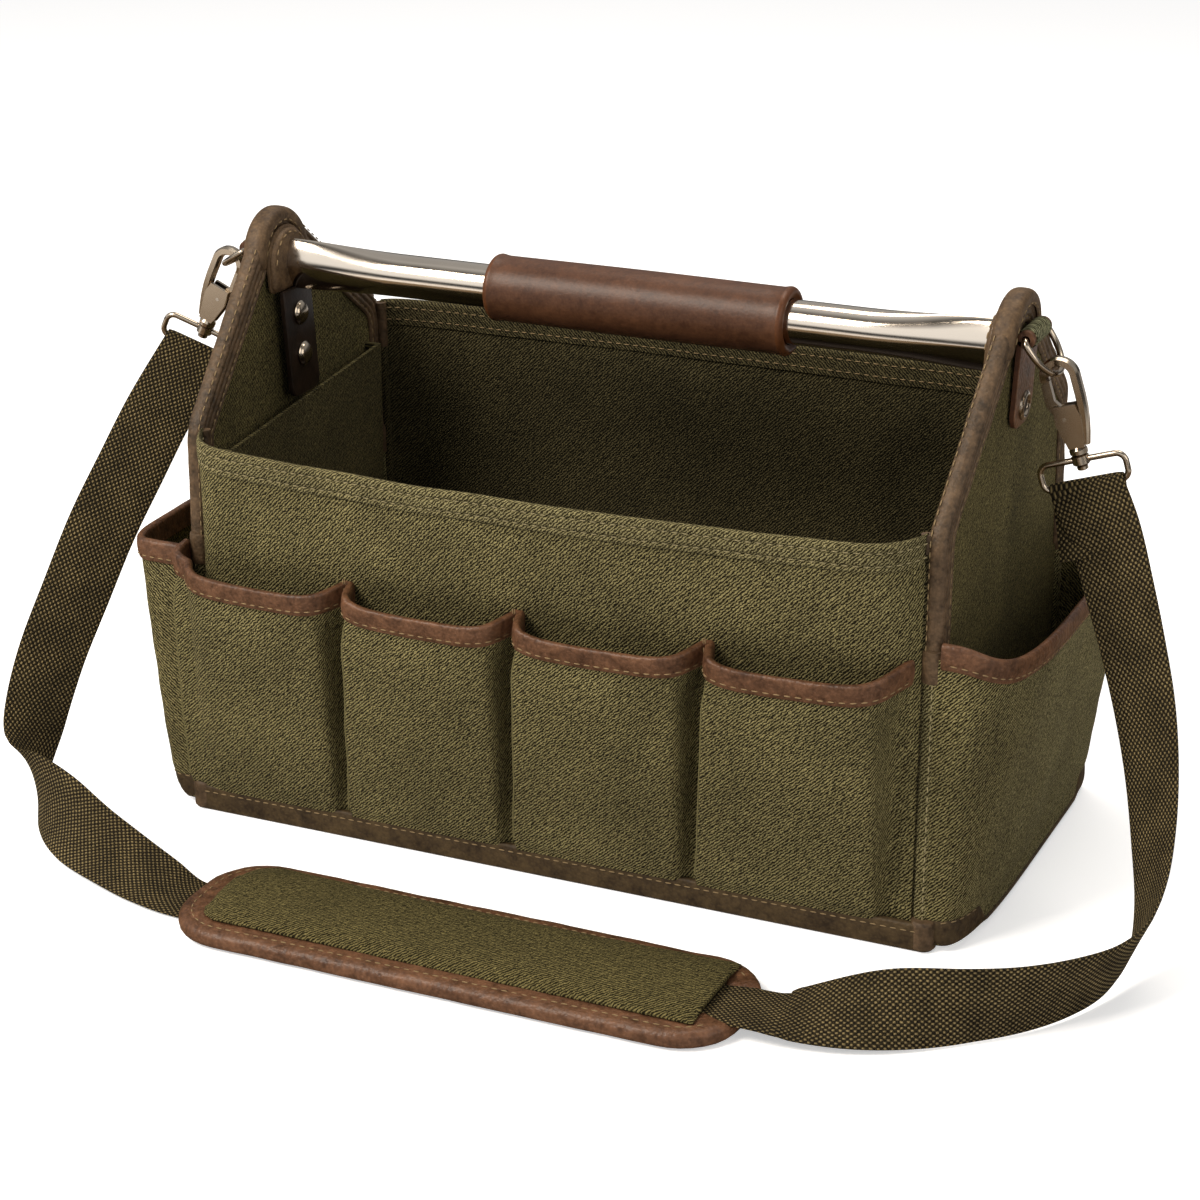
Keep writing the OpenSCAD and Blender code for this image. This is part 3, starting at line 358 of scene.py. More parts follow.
def material(name, **values):
    mat = bpy.data.materials.new(name)
    mat.use_nodes = True
    shader = mat.node_tree.nodes["Principled BSDF"]
    for key, value in values.items():
        shader.inputs[key.replace("_", " ")].default_value = value
    return mat


def wire_up(mat, base=None, height=None, strength=0.5, distance=0.0004, **sockets):
    """Links a colour, a bump height and other outputs to the material's shader."""
    shader = mat.node_tree.nodes["Principled BSDF"]
    link = mat.node_tree.links.new
    if base is not None:
        link(base, shader.inputs["Base Color"])
    if height is not None:
        bump = add(mat, "Bump", {"Strength": strength, "Distance": distance, "Height": height})
        link(bump.outputs[0], shader.inputs["Normal"])
    for key, value in sockets.items():
        link(value, shader.inputs[key.replace("_", " ")])
    return mat


def flat_coordinates(mat, axes=None):
    """The cloth's own coordinates in metres: its UV map, or two of the object's axes."""
    if axes is None:
        return add(mat, "UVMap", uv_map="cloth").outputs[0]
    parts = add(mat, "SeparateXYZ", {0: own_place(mat)}).outputs
    return add(mat, "CombineXYZ", {0: parts[axes[0]], 1: parts[axes[1]]}).outputs[0]


def noise_of(mat, vector, scale, detail=2.0, roughness=0.5):
    return add(mat, "TexNoise", {"Vector": vector, "Scale": scale, "Detail": detail,
                                 "Roughness": roughness}).outputs["Fac"]


RIB_SCALE, THREAD_SCALE, SLUB_SCALE, WAX_SCALE = 224.0, 1100.0, 430.0, 26.0
MATT_CLOTH = {"Roughness": 0.92, "Specular_IOR_Level": 0.15}


def canvas(name, dark, light, axes=None, cloud=0.2):
    """Waxed cotton twill: crinkled diagonal ribs, cloudy where the wax has rubbed off. The real
    ribs are 0.8 mm apart, too fine for the picture, so they are drawn 1.4 mm apart."""
    mat = material(name, **MATT_CLOTH)
    flat = flat_coordinates(mat, axes)
    turned = add(mat, "Mapping", {"Vector": flat, "Rotation": (0, 0, math.radians(45))}).outputs[0]
    ribs = add(mat, "TexWave", {"Vector": turned, "Scale": RIB_SCALE, "Distortion": 4.6,
                                "Detail": 2.0, "Detail Scale": 2.4}, bands_direction="X").outputs["Fac"]
    threads = noise_of(mat, flat, THREAD_SCALE, 2.0, 0.8)
    slubs = noise_of(mat, flat, SLUB_SCALE, 2.0, 0.6)
    height = calc(mat, "MULTIPLY_ADD", threads, 0.9, calc(mat, "MULTIPLY", slubs, 0.5))
    height = calc(mat, "MULTIPLY_ADD", ribs, 0.42, height)
    clouds = noise_of(mat, own_place(mat), WAX_SCALE, 4.0, 0.6)
    base = blend_colour(mat, span(mat, height, 0.78, 1.2), colour(dark), colour(light))
    base = scale_colour(mat, base, span(mat, clouds, 0.3, 0.7, 1 - cloud, 1 + cloud))
    return wire_up(mat, base, height, 0.9, 0.0009)


def leather(name, dark, light, grain=640.0, bump=0.4, roughness=0.42, fine=0.5):
    """Oiled leather: a pebbled grain with pull-up clouds, lighter where it has been rubbed."""
    mat = material(name, Roughness=roughness, Specular_IOR_Level=0.3)
    place = own_place(mat)
    cells = add(mat, "TexVoronoi", {"Vector": place, "Scale": grain, "Randomness": 1.0},
                feature="SMOOTH_F1").outputs["Distance"]
    creases = noise_of(mat, place, grain * 0.3, 4.0, 0.65)
    height = calc(mat, "MULTIPLY_ADD", cells, -fine, creases)
    clouds = noise_of(mat, place, 45.0, 5.0, 0.7)
    share = calc(mat, "MULTIPLY_ADD", creases, 0.6, calc(mat, "MULTIPLY", clouds, 0.6))
    share = span(mat, calc(mat, "MULTIPLY_ADD", cells, -0.2, share), 0.34, 0.7)
    return wire_up(mat, blend_colour(mat, share, colour(dark), colour(light)), height, bump, 0.0006)


def metal(name, base, roughness):
    """Polished metal, a little duller in places."""
    mat = material(name, Metallic=1.0, Base_Color=colour(base))
    cloud = noise_of(mat, own_place(mat), 60.0, 3.0)
    return wire_up(mat, Roughness=span(mat, cloud, 0.3, 0.7, roughness * 0.8, roughness * 1.2))


# Each material's comment says what it gives the eye.
CLOTH = canvas("waxed_twill", "#191608", "#9B9062")  # the olive body, with its diagonal ribs
CLOTH_END = canvas("waxed_twill_end", "#191507", "#877C4F", axes=(1, 2))  # flat ends
CLOTH_LOOP = canvas("loop_twill", "#2B2B18", "#A3A27E", axes=(1, 2))  # pale, greener patch
CLOTH_SHADED_IN = canvas("lining_twill", "#151206", "#6B6243")  # the darker, browner inside: painted shade of the bag's shaded inside
# The inner pockets' canvas, darker than the ends' canvas: painted shade of the bag's inside
CLOTH_SHADED_IN_END = canvas("lining_twill_end", "#1A1708", "#776D48", axes=(1, 2))
CLOTH_PAD = canvas("pad_twill", "#1C1807", "#83784C", axes=(0, 1), cloud=0.12)  # top of the pad
CLOTH_PIPING = canvas("piping_twill", "#28230F", "#9F956A")  # browner piping at the corners
STRIP = leather("strip_leather", "#3E2718", "#76523A", bump=1.0)  # reddish brown, shiny on folds
BINDING = leather("binding_leather", "#332719", "#69533C", bump=1.0, roughness=0.55)  # greyer, worn
CAP = leather("cap_leather", "#3A2A1A", "#6B543A", 800.0, 0.5, 0.58)  # smoother, stretched
BAND = leather("band_leather", "#2C2012", "#544329", bump=0.8, roughness=0.62)  # dull and dark
GRIP = leather("grip_leather", "#3C2314", "#5A3A26", 900.0, 0.25, fine=0.3)  # smooth and handled
GRIP_EDGE = leather("grip_edge_leather", "#48270F", "#633C22", 900.0, 0.2)  # redder rolled ends
DARK = leather("dark_leather", "#150E09", "#2B1E15", 800.0, 0.25, 0.4)  # nearly black tabs
CUT = leather("cut_edge_leather", "#3E2416", "#5A3620", 900.0, 0.2, 0.6)  # raw edges
STEEL = metal("satin_steel", "#CDC2B4", 0.13)  # the tube's crisp light and dark bands
NICKEL = metal("antique_nickel", "#A99C8B", 0.2)  # warm, dark fittings with sharp glints
BRIGHT = metal("spring_steel", "#BDB6AC", 0.25)
THREAD = material("tan_thread", Base_Color=colour("#86714F"), Roughness=0.85)  # quiet, on leather
THREAD_OLIVE = material("olive_thread", Base_Color=colour("#9E926C"), Roughness=0.85)  # on cloth
FOLD_HIGHLIGHT = material("rubbed_twill", Base_Color=colour("#6E663F"), Roughness=0.92)  # pale line on the folds' edges: painted highlight
THREAD_PALE = material("pale_thread", Base_Color=colour("#8A7350"), Roughness=0.8)  # on pocket rims


def webbing_material():
    """Cotton webbing: rows of round knuckles set like bricks, 1.5 mm apart, some paler than others."""
    mat = material("cotton_webbing", **MATT_CLOTH)
    flat = flat_coordinates(mat)
    bend = noise_of(mat, flat, 220.0, 2.0)
    parts = add(mat, "SeparateXYZ", {0: flat}).outputs
    waves = []
    for k, two_rows in ((0, 0.0031), (1, 0.0026)):
        straight = calc(mat, "MULTIPLY", parts[k], 2 * math.pi / two_rows)
        turns = calc(mat, "MULTIPLY_ADD", bend, 2.2, straight)
        waves.append(calc(mat, "SINE", turns))
    knuckles = calc(mat, "MAXIMUM", calc(mat, "MULTIPLY", waves[0], waves[1]), 0.0)
    fuzz = noise_of(mat, flat, THREAD_SCALE, 2.0, 0.7)
    height = calc(mat, "MULTIPLY_ADD", fuzz, 0.5, calc(mat, "POWER", knuckles, 0.7))
    base = blend_colour(mat, span(mat, height, 0.22, 1.15), colour("#100C05"), colour("#8C7B55"))
    base = scale_colour(mat, base, span(mat, noise_of(mat, flat, 60.0, 4.0), 0.3, 0.7, 0.7, 1.3))
    return wire_up(mat, base, height, 1.0, 0.0010)


WEBBING = webbing_material()

# Camera
TURN, DOWN, ROLL = math.radians(24.7), math.radians(21.9), math.radians(-0.6)
look = Vector((-math.sin(TURN) * math.cos(DOWN), math.cos(TURN) * math.cos(DOWN), -math.sin(DOWN)))
level = Vector((math.cos(TURN), math.sin(TURN), 0))
over = level.cross(look)
right = level * math.cos(ROLL) + over * math.sin(ROLL)
above = over * math.cos(ROLL) - level * math.sin(ROLL)
AWAY, TO_LEFT, UP = 1.58, 0.0146, 0.1009
eye = over * UP - look * AWAY - level * TO_LEFT
camera = bpy.data.objects.new("camera", bpy.data.cameras.new("camera"))
camera.data.lens = 90
camera.data.sensor_width = 36
camera.data.clip_end = 20
camera.matrix_world = Matrix([*zip(right, above, -look, eye), (0, 0, 0, 1)])
scene.collection.objects.link(camera)
scene.camera = camera

# Shoulder strap
# The hooks hang from the rings. Degrees for the right side (1) and the left (-1).
RING_SWING, HOOK_TILT, EYE_TURN = {1: 35, -1: 58}, {1: 17, -1: 25}, {1: 4, -1: -15}
TAB_LOW, TAB_HIGH, TAB_HALF, LOOP_R, LOOP_HEIGHT = 1.8, 4.4, 14, 4.3, 276
LOOP_X, LOOP_V = TAB_LOW + LOOP_R, (LOOP_HEIGHT - FRONT_TOP) / math.cos(TILT)
RING_WIRE, RING_R, RING_LEG, EYE_WIRE = 1.6, 17.0, 5.0, 1.5
BOWL_Z, BOWL_R = -1.9, 7.4  # middle and bend of the hook's bowl
WEB_WIDTH, WEB_THICK, TAIL = 36.0, 2.0, 34.0
HUB_FOOT, HUB_HIGH, EYE_HIGH = -45.4, 5.0, 13.0
EYE_TOP = HUB_FOOT + HUB_HIGH / 2
LOOP = np.array([END_FOOT - END_LEAN + LOOP_X * math.cos(TILT) + LOOP_V * math.sin(TILT),
                 FRONT_TOP - LOOP_X * math.sin(TILT) + LOOP_V * math.cos(TILT)])


def hook_frame(side):
    """Where a hook hangs, and its own axes: outward, to the back, and up along the hook."""
    swing, tilt = math.radians(RING_SWING[side]), math.radians(HOOK_TILT[side])
    spot = LOOP + (RING_LEG + RING_R) * np.array([math.sin(swing), -math.cos(swing)])
    return (xyz(side * spot[0], 0, spot[1]), xyz(side * math.cos(tilt), 0, math.sin(tilt)),
            np.array([0, 1.0, 0]), xyz(-side * math.sin(tilt), 0, math.cos(tilt)))


def eye_frame(side):
    """The eye's top, the way along its bar, and up."""
    spot, out, back, up = hook_frame(side)
    turn = math.radians(EYE_TURN[side])
    return spot + up * EYE_TOP, out * math.cos(turn) + back * math.sin(turn), up


# The webbing's middle line and the way its width lies, in metres, from the right eye to the left
ROUTE = np.array([
    [0.249, -0.010, 0.186, 0.92, 0.00, 0.40], [0.260, -0.020, 0.163, 0.90, -0.10, 0.42],
    [0.271, -0.031, 0.139, 0.86, -0.20, 0.46], [0.281, -0.042, 0.114, 0.82, -0.28, 0.50],
    [0.289, -0.054, 0.088, 0.76, -0.40, 0.52], [0.295, -0.068, 0.062, 0.66, -0.50, 0.56],
    [0.299, -0.084, 0.040, 0.50, -0.56, 0.66], [0.299, -0.102, 0.026, 0.34, -0.54, 0.76],
    [0.293, -0.123, 0.020, 0.20, -0.42, 0.88], [0.281, -0.144, 0.019, 0.10, -0.28, 0.95],
    [0.263, -0.164, 0.019, 0.04, -0.12, 0.99], [0.240, -0.180, 0.019, 0.06, 0.14, 0.98],
    [0.214, -0.190, 0.017, 0.10, 0.55, 0.83], [0.190, -0.196, 0.013, 0.06, 0.84, 0.54],
    [0.168, -0.199, 0.009, 0.02, 0.98, 0.20], [0.158, -0.200, 0.0079, 0.00, 1.00, 0.00],
    [0.120, -0.200, 0.0079, 0.00, 1.00, 0.00], [0.060, -0.200, 0.0079, 0.00, 1.00, 0.00],
    [0.000, -0.200, 0.0079, 0.00, 1.00, 0.00], [-0.060, -0.200, 0.0079, 0.00, 1.00, 0.00],
    [-0.084, -0.200, 0.0076, 0.00, 1.00, 0.00], [-0.094, -0.200, 0.0046, 0.00, 1.00, 0.00],
    [-0.104, -0.200, 0.0017, 0.00, 1.00, 0.00], [-0.128, -0.200, 0.0014, 0.00, 1.00, 0.00],
    [-0.152, -0.199, 0.0014, 0.02, 1.00, 0.00], [-0.172, -0.195, 0.005, 0.15, 0.96, 0.20],
    [-0.196, -0.188, 0.009, 0.20, 0.90, 0.38], [-0.221, -0.179, 0.013, 0.25, 0.74, 0.62],
    [-0.243, -0.167, 0.017, 0.24, 0.48, 0.84], [-0.261, -0.155, 0.019, 0.12, 0.14, 0.98],
    [-0.275, -0.143, 0.022, -0.10, -0.28, 0.94], [-0.282, -0.133, 0.032, -0.30, -0.50, 0.80],
    [-0.283, -0.124, 0.050, -0.50, -0.58, 0.62], [-0.280, -0.111, 0.076, -0.65, -0.55, 0.52],
    [-0.275, -0.093, 0.104, -0.74, -0.51, 0.45], [-0.270, -0.072, 0.134, -0.80, -0.42, 0.42],
    [-0.264, -0.050, 0.161, -0.84, -0.36, 0.40], [-0.258, -0.028, 0.187, -0.87, -0.30, 0.38]])
ROUTE[:, :3] /= MM


def wrap(side, ahead):
    """The webbing's tail and its fold round an eye's bar."""
    top, way, up = eye_frame(side)
    bar = top - up * EYE_HIGH
    to = ahead - bar
    down = unit(to - (to @ way) * way)
    out = side * np.cross(down, way)
    gap = 0.4
    fold_r = EYE_WIRE + gap + WEB_THICK / 2
    rows = [np.r_[bar + TAIL * s * down - out * mix(fold_r, WEB_THICK, s), way] for s in (1, 0.4)]
    for i in range(7):
        a = math.radians(180 * i / 6)
        rows.append(np.r_[bar - fold_r * (math.cos(a) * out + math.sin(a) * down), way])
    return rows


rows = spline(wrap(1, ROUTE[0, :3]) + list(ROUTE) + wrap(-1, ROUTE[-1, :3])[::-1], 3.0)
web_path, web_way = rows[:, :3], rows[:, 3:]
ahead = unit(np.gradient(web_path, axis=0))
web_way = unit(web_way - ahead * np.sum(web_way * ahead, 1)[:, None])
web_up = np.cross(ahead, web_way)
half, edge = WEB_WIDTH / 2, WEB_THICK / 2
top_row = [[half * s, edge * (1 - 0.5 * abs(s) ** 12)] for s in np.linspace(0.995, -0.995, 13)]
web_section = np.array([[half, 0]] + top_row + [[-half, 0]] + [[x, -y] for x, y in top_row[::-1]])
webbing = piece("shoulder_webbing", sweep(web_path, web_way, web_up, web_section), WEBBING,
                nodes=["strap_webbing"], sharp=60)


# Bag body
def shade_inside_faces(obj, side):
    """Gives the faces that look into the bag the darker inside canvas, whose darker colour is painted shade."""
    second_material(obj, CLOTH_SHADED_IN, lambda face: face.normal.y * side > 0)


def wall_piece(name, side, node):
    """A wall of waxed canvas, with soft ripples where it isn't held."""
    top = (FRONT_TOP if side > 0 else BACK_TOP) - HEM_HEIGHT - SEAT
    z = np.linspace(WALL_FOOT, top, 56)[:, None]
    share = np.sin(np.linspace(-1, 1, 141) * math.pi / 2)
    x = share * wall_half(z)
    free = (1 - np.abs(share) ** 8) * ease(z, 20, 70) * (1 - ease(z, top - 14, top))
    wave = 1.1 * rough(xyz(x, z * 0.8, 0), 46, side + 3) + 0.5 * rough(xyz(x, z, 0), 17, side)
    outer = xyz(x, -side * (wall_out(x, z, side) + free * wave), z)
    shade_inside_faces(piece(name, sheet(outer, outer + [0, side * CANVAS, 0]), CLOTH, nodes=[node]), side)


wall_piece("front_wall", 1, "front_panel")
wall_piece("back_wall", -1, "back_panel")

# Rows of stitches: each is a list of points, the way each stitch lies up from its surface, the
# body it rides on and its thread
SEWN = []


def sew(points, lift, body="root", thread=None):
    points = np.asarray(points, float)
    SEWN.append((points, unit(np.broadcast_to(lift, points.shape)), body, thread or THREAD))


GROOVE_DEEP, GROOVE_WIDE, SEAM_DEEP, SEAM_ROWS = 1.2, 0.75, 0.65, (4.4, 8.0, 11.4)


def dent(at, middle, wide=GROOVE_WIDE):
    """1 in the middle of a dent and 0 beside it."""
    return np.exp(-((at - middle) / wide) ** 2)


def hem_piece(name, side, node):
    """A folded hem with two sewn grooves and a round top edge that wanders a little."""
    top = FRONT_TOP if side > 0 else BACK_TOP
    foot = top - HEM_HEIGHT
    rows = (foot + 3.2, top - 4.4)
    z = np.linspace(foot, top - 2.6, 34)
    out = 1.0 + 0.6 * np.sin(math.pi * (z - foot) / HEM_HEIGHT) - 0.6 * dent(z, foot, 0.6)
    out -= GROOVE_DEEP * sum(dent(z, row) for row in rows)
    face = np.stack([out, z], -1)
    out, z = np.vstack([face, arc((-1.5, top - 2.4), (2.7, 2.5), 15, 165, 9),
                        [(-4.0, z) for z in np.linspace(top - 3, foot, 8)]]).T
    share = np.sin(np.linspace(-1, 1, 181) * math.pi / 2)[:, None]
    along = share * 190
    free = 0.5 * (1 - np.abs(share) ** 6)
    rise = free * rough(xyz(along, 0, 0), 38, side)
    sway = free * rough(xyz(along, 40, 0), 30, side)
    x = share * wall_half(np.minimum(z, top))
    grid = xyz(x, -side * (wall_out(x, np.minimum(z, top), side) + out + sway), z + rise)
    shade_inside_faces(piece(name, skin(grid), CLOTH_PIPING, nodes=[node]), side)
    thread = THREAD_OLIVE if side > 0 else THREAD
    for row in rows:
        k = int(np.argmin(np.abs(face[:, 1] - row)))
        sewn = grid[2:-2, k]
        sew(sewn - [0, side * 0.25, 0], [0, -side, 0], thread=thread)
        sew(sewn + [0, side * (face[k, 0] + 4.2), 0], [0, side, 0], thread=thread)


hem_piece("front_rim_hem", 1, "front_hem")
hem_piece("back_rim_hem", -1, "back_hem")


# Gable ends
def tangent(y, z, side):
    """Angle of the point where a line from (y, z) touches the round top, in degrees."""
    return math.degrees(math.atan2(z - APEX_Z, y) + side * math.acos(APEX_R / math.hypot(y, z - APEX_Z)))


def gable_path():
    """Edge of a gable in Y and Z, from the binding's front foot over the top to its back foot."""
    front, back = (-corner_y(FRONT_TOP), FRONT_TOP), (corner_y(BACK_TOP), BACK_TOP)
    top = arc((0, APEX_Z), APEX_R, tangent(*front, -1) % 360, tangent(*back, 1), 40)
    start, end = (-corner_y(BINDING_FOOT), BINDING_FOOT), (corner_y(BINDING_FOOT), BINDING_FOOT)
    return even(np.vstack([fillet([start, front, top[0]], [24]), top[1:-1],
                           fillet([top[-1], back, end], [24])]), 260)


GABLE = gable_path()
gable_ahead = unit(np.gradient(GABLE, axis=0))
GABLE_IN = np.stack([gable_ahead[:, 1], -gable_ahead[:, 0]], -1)


def gable_point(side, along, into, out):
    """Points near the gable's edge: into the panel, and out from the middle of its thickness."""
    y, z = np.moveaxis(GABLE[along] + GABLE_IN[along] * np.expand_dims(into, -1), -1, 0)
    return xyz(side * (end_x(z) - END_PANEL / 2 + out), y, z)


def binding_piece(side, word):
    """Leather bound round the gable's edge, grooved along its length."""
    half = END_PANEL / 2 + BINDING_PROUD
    into = np.linspace(0, BINDING_WIDTH, 36)
    dome = np.sqrt(1 - (1 - np.minimum(1, into / 3.4)) ** 2)
    lip = 0.7 * np.maximum(0, into - (BINDING_WIDTH - 1))
    out = half * dome - SEAM_DEEP * sum(dent(into, row) for row in SEAM_ROWS) - lip
    into, out = np.append(into, into[:0:-1]), np.append(out, -out[:0:-1])
    grid = gable_point(side, np.arange(len(GABLE))[:, None], into, out)
    swell = 0.35 * rough(grid[:, 0], 16, side) + 0.2 * rough(grid[:, 0], 6, side + 5)
    grid[..., 0] += np.copysign(np.minimum(1, np.abs(out)), out) * swell[:, None]
    piece(f"{word}_gable_binding", skin(grid), BINDING, nodes=[f"{word}_end_binding"])
    rows = np.arange(4, len(GABLE) - 4)
    edge_lift = np.column_stack([np.full(len(rows), -side * 0.8), -GABLE_IN[rows]])
    sew(gable_point(side, rows, 0.5, -0.62 * half) + unit(edge_lift) * 0.3, edge_lift)
    for face_side in (1, -1):
        sew(gable_point(side, rows, SEAM_ROWS[-1], face_side * (half - 0.5)), [side * face_side, 0, 0])


def above_bend(side, out, y, up):
    """Points in the frame of an end's upper part: out from its face, y, and up along it."""
    out, up = np.asarray(out, float), np.asarray(up, float)
    return xyz(side * (END_FOOT - END_LEAN + out * math.cos(TILT) + up * math.sin(TILT)), y,
               FRONT_TOP - out * math.sin(TILT) + up * math.cos(TILT))


def cap_piece(side, word):
    """Swollen leather cap sewn over the gable's round top."""
    rows, cols = 61, 41
    angles = np.radians(np.linspace(184, -4, rows))[:, None]
    legs = np.radians(np.linspace(-118, 118, cols))
    count = np.arange(rows)
    near_end = np.minimum(1, np.minimum(count, count[::-1])[:, None] / 5)
    full = np.sqrt(1 - (1 - near_end) ** 2)
    grain = 0.25 * rough(xyz(count[:, None], np.arange(cols), 0), 9, side)
    grids = []
    for less, relief in ((0, grain), (1.3, 0)):
        wide = (5.3 + 0.7 * full - less) * np.abs(np.sin(legs)) ** 0.7
        r = 20.8 + (3.6 + 1.3 * full - less) * power(np.cos(legs), 0.8) + relief
        z = APEX_Z + r * np.sin(angles)
        grids.append(xyz(side * (end_x(z) - END_PANEL / 2 + np.copysign(wide, legs)), r * np.cos(angles), z))
    piece(f"{word}_gable_cap", sheet(*grids), CAP, nodes=[f"{word}_apex_cap"])
    for col, way in ((2, -side), (-3, side)):
        sew(grids[0][7:-7, col] + [0.1 * way, 0, 0], [way, 0, 0])


def panel_piece(side, word):
    """A stiffened end panel that reaches in under its binding, a little pillowed."""
    top = int(np.argmax(GABLE[:, 1]))
    z = np.append(np.linspace(WALL_FOOT + 0.3, FRONT_TOP, 40), np.linspace(210, GABLE_TOP - 7, 30))[:, None]
    front = np.interp(z, GABLE[:top + 1, 1], GABLE[:top + 1, 0]) + 7.0
    back = np.interp(-z, -GABLE[top:, 1], GABLE[top:, 0]) - 7.0
    low, half = z < BINDING_FOOT, corner_y(z) - 9.6
    across = np.linspace(-1, 1, 41)
    y = mix(np.where(low, -half, front), np.where(low, half, back), (across + 1) / 2)
    free = (1 - across ** 2) * ease(z, 10, 60) * (1 - ease(z, 240, 282))
    wave = 0.7 + 0.5 * rough(xyz(y, z, 0), 42, side)
    piece(f"{word}_stiff_end", sheet(xyz(side * (end_x(z) + free * wave), y, z),
                                     xyz(side * (end_x(z) - END_PANEL), y, z)),
          CLOTH_END, nodes=[f"{word}_end_panel"])


for side, word in SIDES:
    binding_piece(side, word)
for side, word in SIDES:
    cap_piece(side, word)
    panel_piece(side, word)

# Corner piping
parts = []
for sx, sy in CORNERS:
    zs = np.linspace(9, BINDING_FOOT + 3, 60)
    x = END_FOOT - END_LEAN * zs / FRONT_TOP - PIPING_R + BINDING_PROUD
    path = xyz(sx * x, sy * (corner_y(zs) - PIPING_R), zs)
    parts.append(wire(path, PIPING_R + 0.5, 20))
    for turn in (-0.6, 0.6):
        aim = math.atan2(sy, sx) + turn
        way = np.array([math.cos(aim), math.sin(aim), 0])
        sew(path[3:-2] + way * (PIPING_R + 0.4), way, thread=THREAD_OLIVE)
piece("corner_pipings", parts, CLOTH_PIPING, nodes=["corner_piping"])

# Where each binding ends, a short leather sleeve covers the top of the piping, and another its
# foot. Inside, a narrow piping closes each corner, in leather at the top.
SLEEVE = [(0, 4.9), (0.3, 5.5), (1.5, 5.8), (8, 5.7), (13, 5.9), (15.6, 5.7), (16.2, 4.9)]
FOOT_SLEEVE = [(0, 5.0), (0.5, 6.2), (12, 6.4), (14, 6.0), (14.6, 5.0)]
SLEEVE_FOOT, LEATHER_FOOT = 134, 196
sleeves, inside_cloth, inside_leather = [], [], []
for sx, sy in CORNERS:
    foot = xyz(sx * (end_x(SLEEVE_FOOT) - 3.2), sy * (corner_y(SLEEVE_FOOT) - 4.4), SLEEVE_FOOT)
    sleeves.append(lathe(SLEEVE, foot, [0, -sy * CORNER_LEAN / FRONT_TOP, 1], 24))
    sleeves.append(lathe(FOOT_SLEEVE, [sx * 196.6, sy * 101.6, 1.0], [0, 0, 1], 24))
    rim = FRONT_TOP if sy < 0 else BACK_TOP
    for low, high, count, r, kind in ((7, LEATHER_FOOT, 24, 2.6, inside_cloth),
                                      (LEATHER_FOOT, rim - 1, 8, 3.0, inside_leather)):
        zs = np.linspace(low, high, count)
        kind.append(wire(xyz(sx * (wall_half(zs) - 0.6), sy * (corner_y(zs) - 3.4), zs), r))
piece("binding_end_sleeves", sleeves, BINDING)
# The inner pipings take the darker inside canvas: painted shade
piece("inner_corner_pipings", inside_cloth, CLOTH_SHADED_IN)
piece("inner_corner_leather", inside_leather, BINDING)


def round_plan(length, width, r, step=4.0, centre=(0, 0)):
    """A rounded rectangle in plan, as a closed path, with its outward normals."""
    corners = rounded(length, width, r, 8).reshape(4, 9, 2)
    path, normals = [], []
    for k, corner in enumerate(corners):
        start, end = corner[-1], corners[(k + 1) % 4][0]
        count = max(2, int(np.linalg.norm(end - start) / step))
        path += [corner, np.linspace(start, end, count + 1)[1:-1]]
        a = math.pi / 2 * (k + np.append(np.linspace(0, 1, 9), np.ones(count - 1)))
        normals.append(xyz(np.cos(a), np.sin(a), 0))
    path = np.vstack(path) + centre
    return xyz(*path.T, 0), np.vstack(normals)


def band_piece():
    """The leather round the foot of the bag, its top edge a little wavy."""
    path, normals = round_plan(2 * BASE_X, 2 * BASE_Y, 5, 5.0)
    out, up = (rounded(3.4, 14.2, [1.5, 1.0, 0.8, 1.2], 3) - [1.7, -7.1]).T
    wavy = out + up / 14 * 0.5 * rough(path, 20, 7)[:, None] * (out > -1.2)
    wavy += 0.35 * np.sin(math.pi * up / 14) * (out > -1)
    sections = np.stack([wavy, up * (1 + 0.05 * rough(path, 24, 2)[:, None])], -1)
    piece("foot_band", sweep(path, normals, [0, 0, 1], sections, closed=True), BAND, nodes=["bottom_band"])
    row = path + normals * 0.25 + [0, 0, 10.6]
    sew(np.vstack([row, row[:1]]), np.vstack([normals, normals[:1]]))


band_piece()


# Pockets
def half_plan(shares):
    """Half of a pocket in plan, from a seam to its middle, as (share of half width, share of depth)."""
    scale = np.array([45.0, 20.0])
    return even(spline(np.array([[a, b, 0] for a, b in shares]), 0.01)[:, :2] * scale, 49) / scale


# A pocket's left edge is a crisp fold and its right edge bends back to the seam. The rim is round.
CRISP = half_plan([(0, 0), (-0.005, 0.3), (0, 0.65), (0.004, 0.88), (0.02, 0.98), (0.08, 1.01), (0.3, 1.03),
                   (0.6, 1.05), (1, 1.06)])
BENT = half_plan([(0, 0), (0.07, 0.02), (0.11, 0.2), (0.14, 0.5), (0.17, 0.8), (0.22, 0.96), (0.36, 1.02),
                  (0.7, 1.05), (1, 1.06)])
SEAM_DRIFT = [0, 11, 11, 11, 5]  # how far each seam's foot lies to the left of its rim
RIM_LEFT = half_plan([(0, 0), (0.01, 0.3), (0.025, 0.6), (0.06, 0.85), (0.14, 0.96), (0.3, 1), (0.6, 1),
                      (1, 1)])
RIM_RIGHT = half_plan([(0, 0), (0.05, 0.22), (0.1, 0.5), (0.17, 0.78), (0.28, 0.94), (0.45, 1), (0.7, 1),
                       (1, 1)])
# How far pockets stand out at the foot and, front (1) and back (-1), at the rim, and how far
# the rim climbs at its seams and sags between them
FOOT_BELLY, RIM_BELLY, RIM_LIFT, RIM_SAG = 3, {1: 18, -1: 14}, 4.0, 1.2
FOLD_TOP, RIM_ROUND = 112, 136  # between these heights the folds open into the round rim


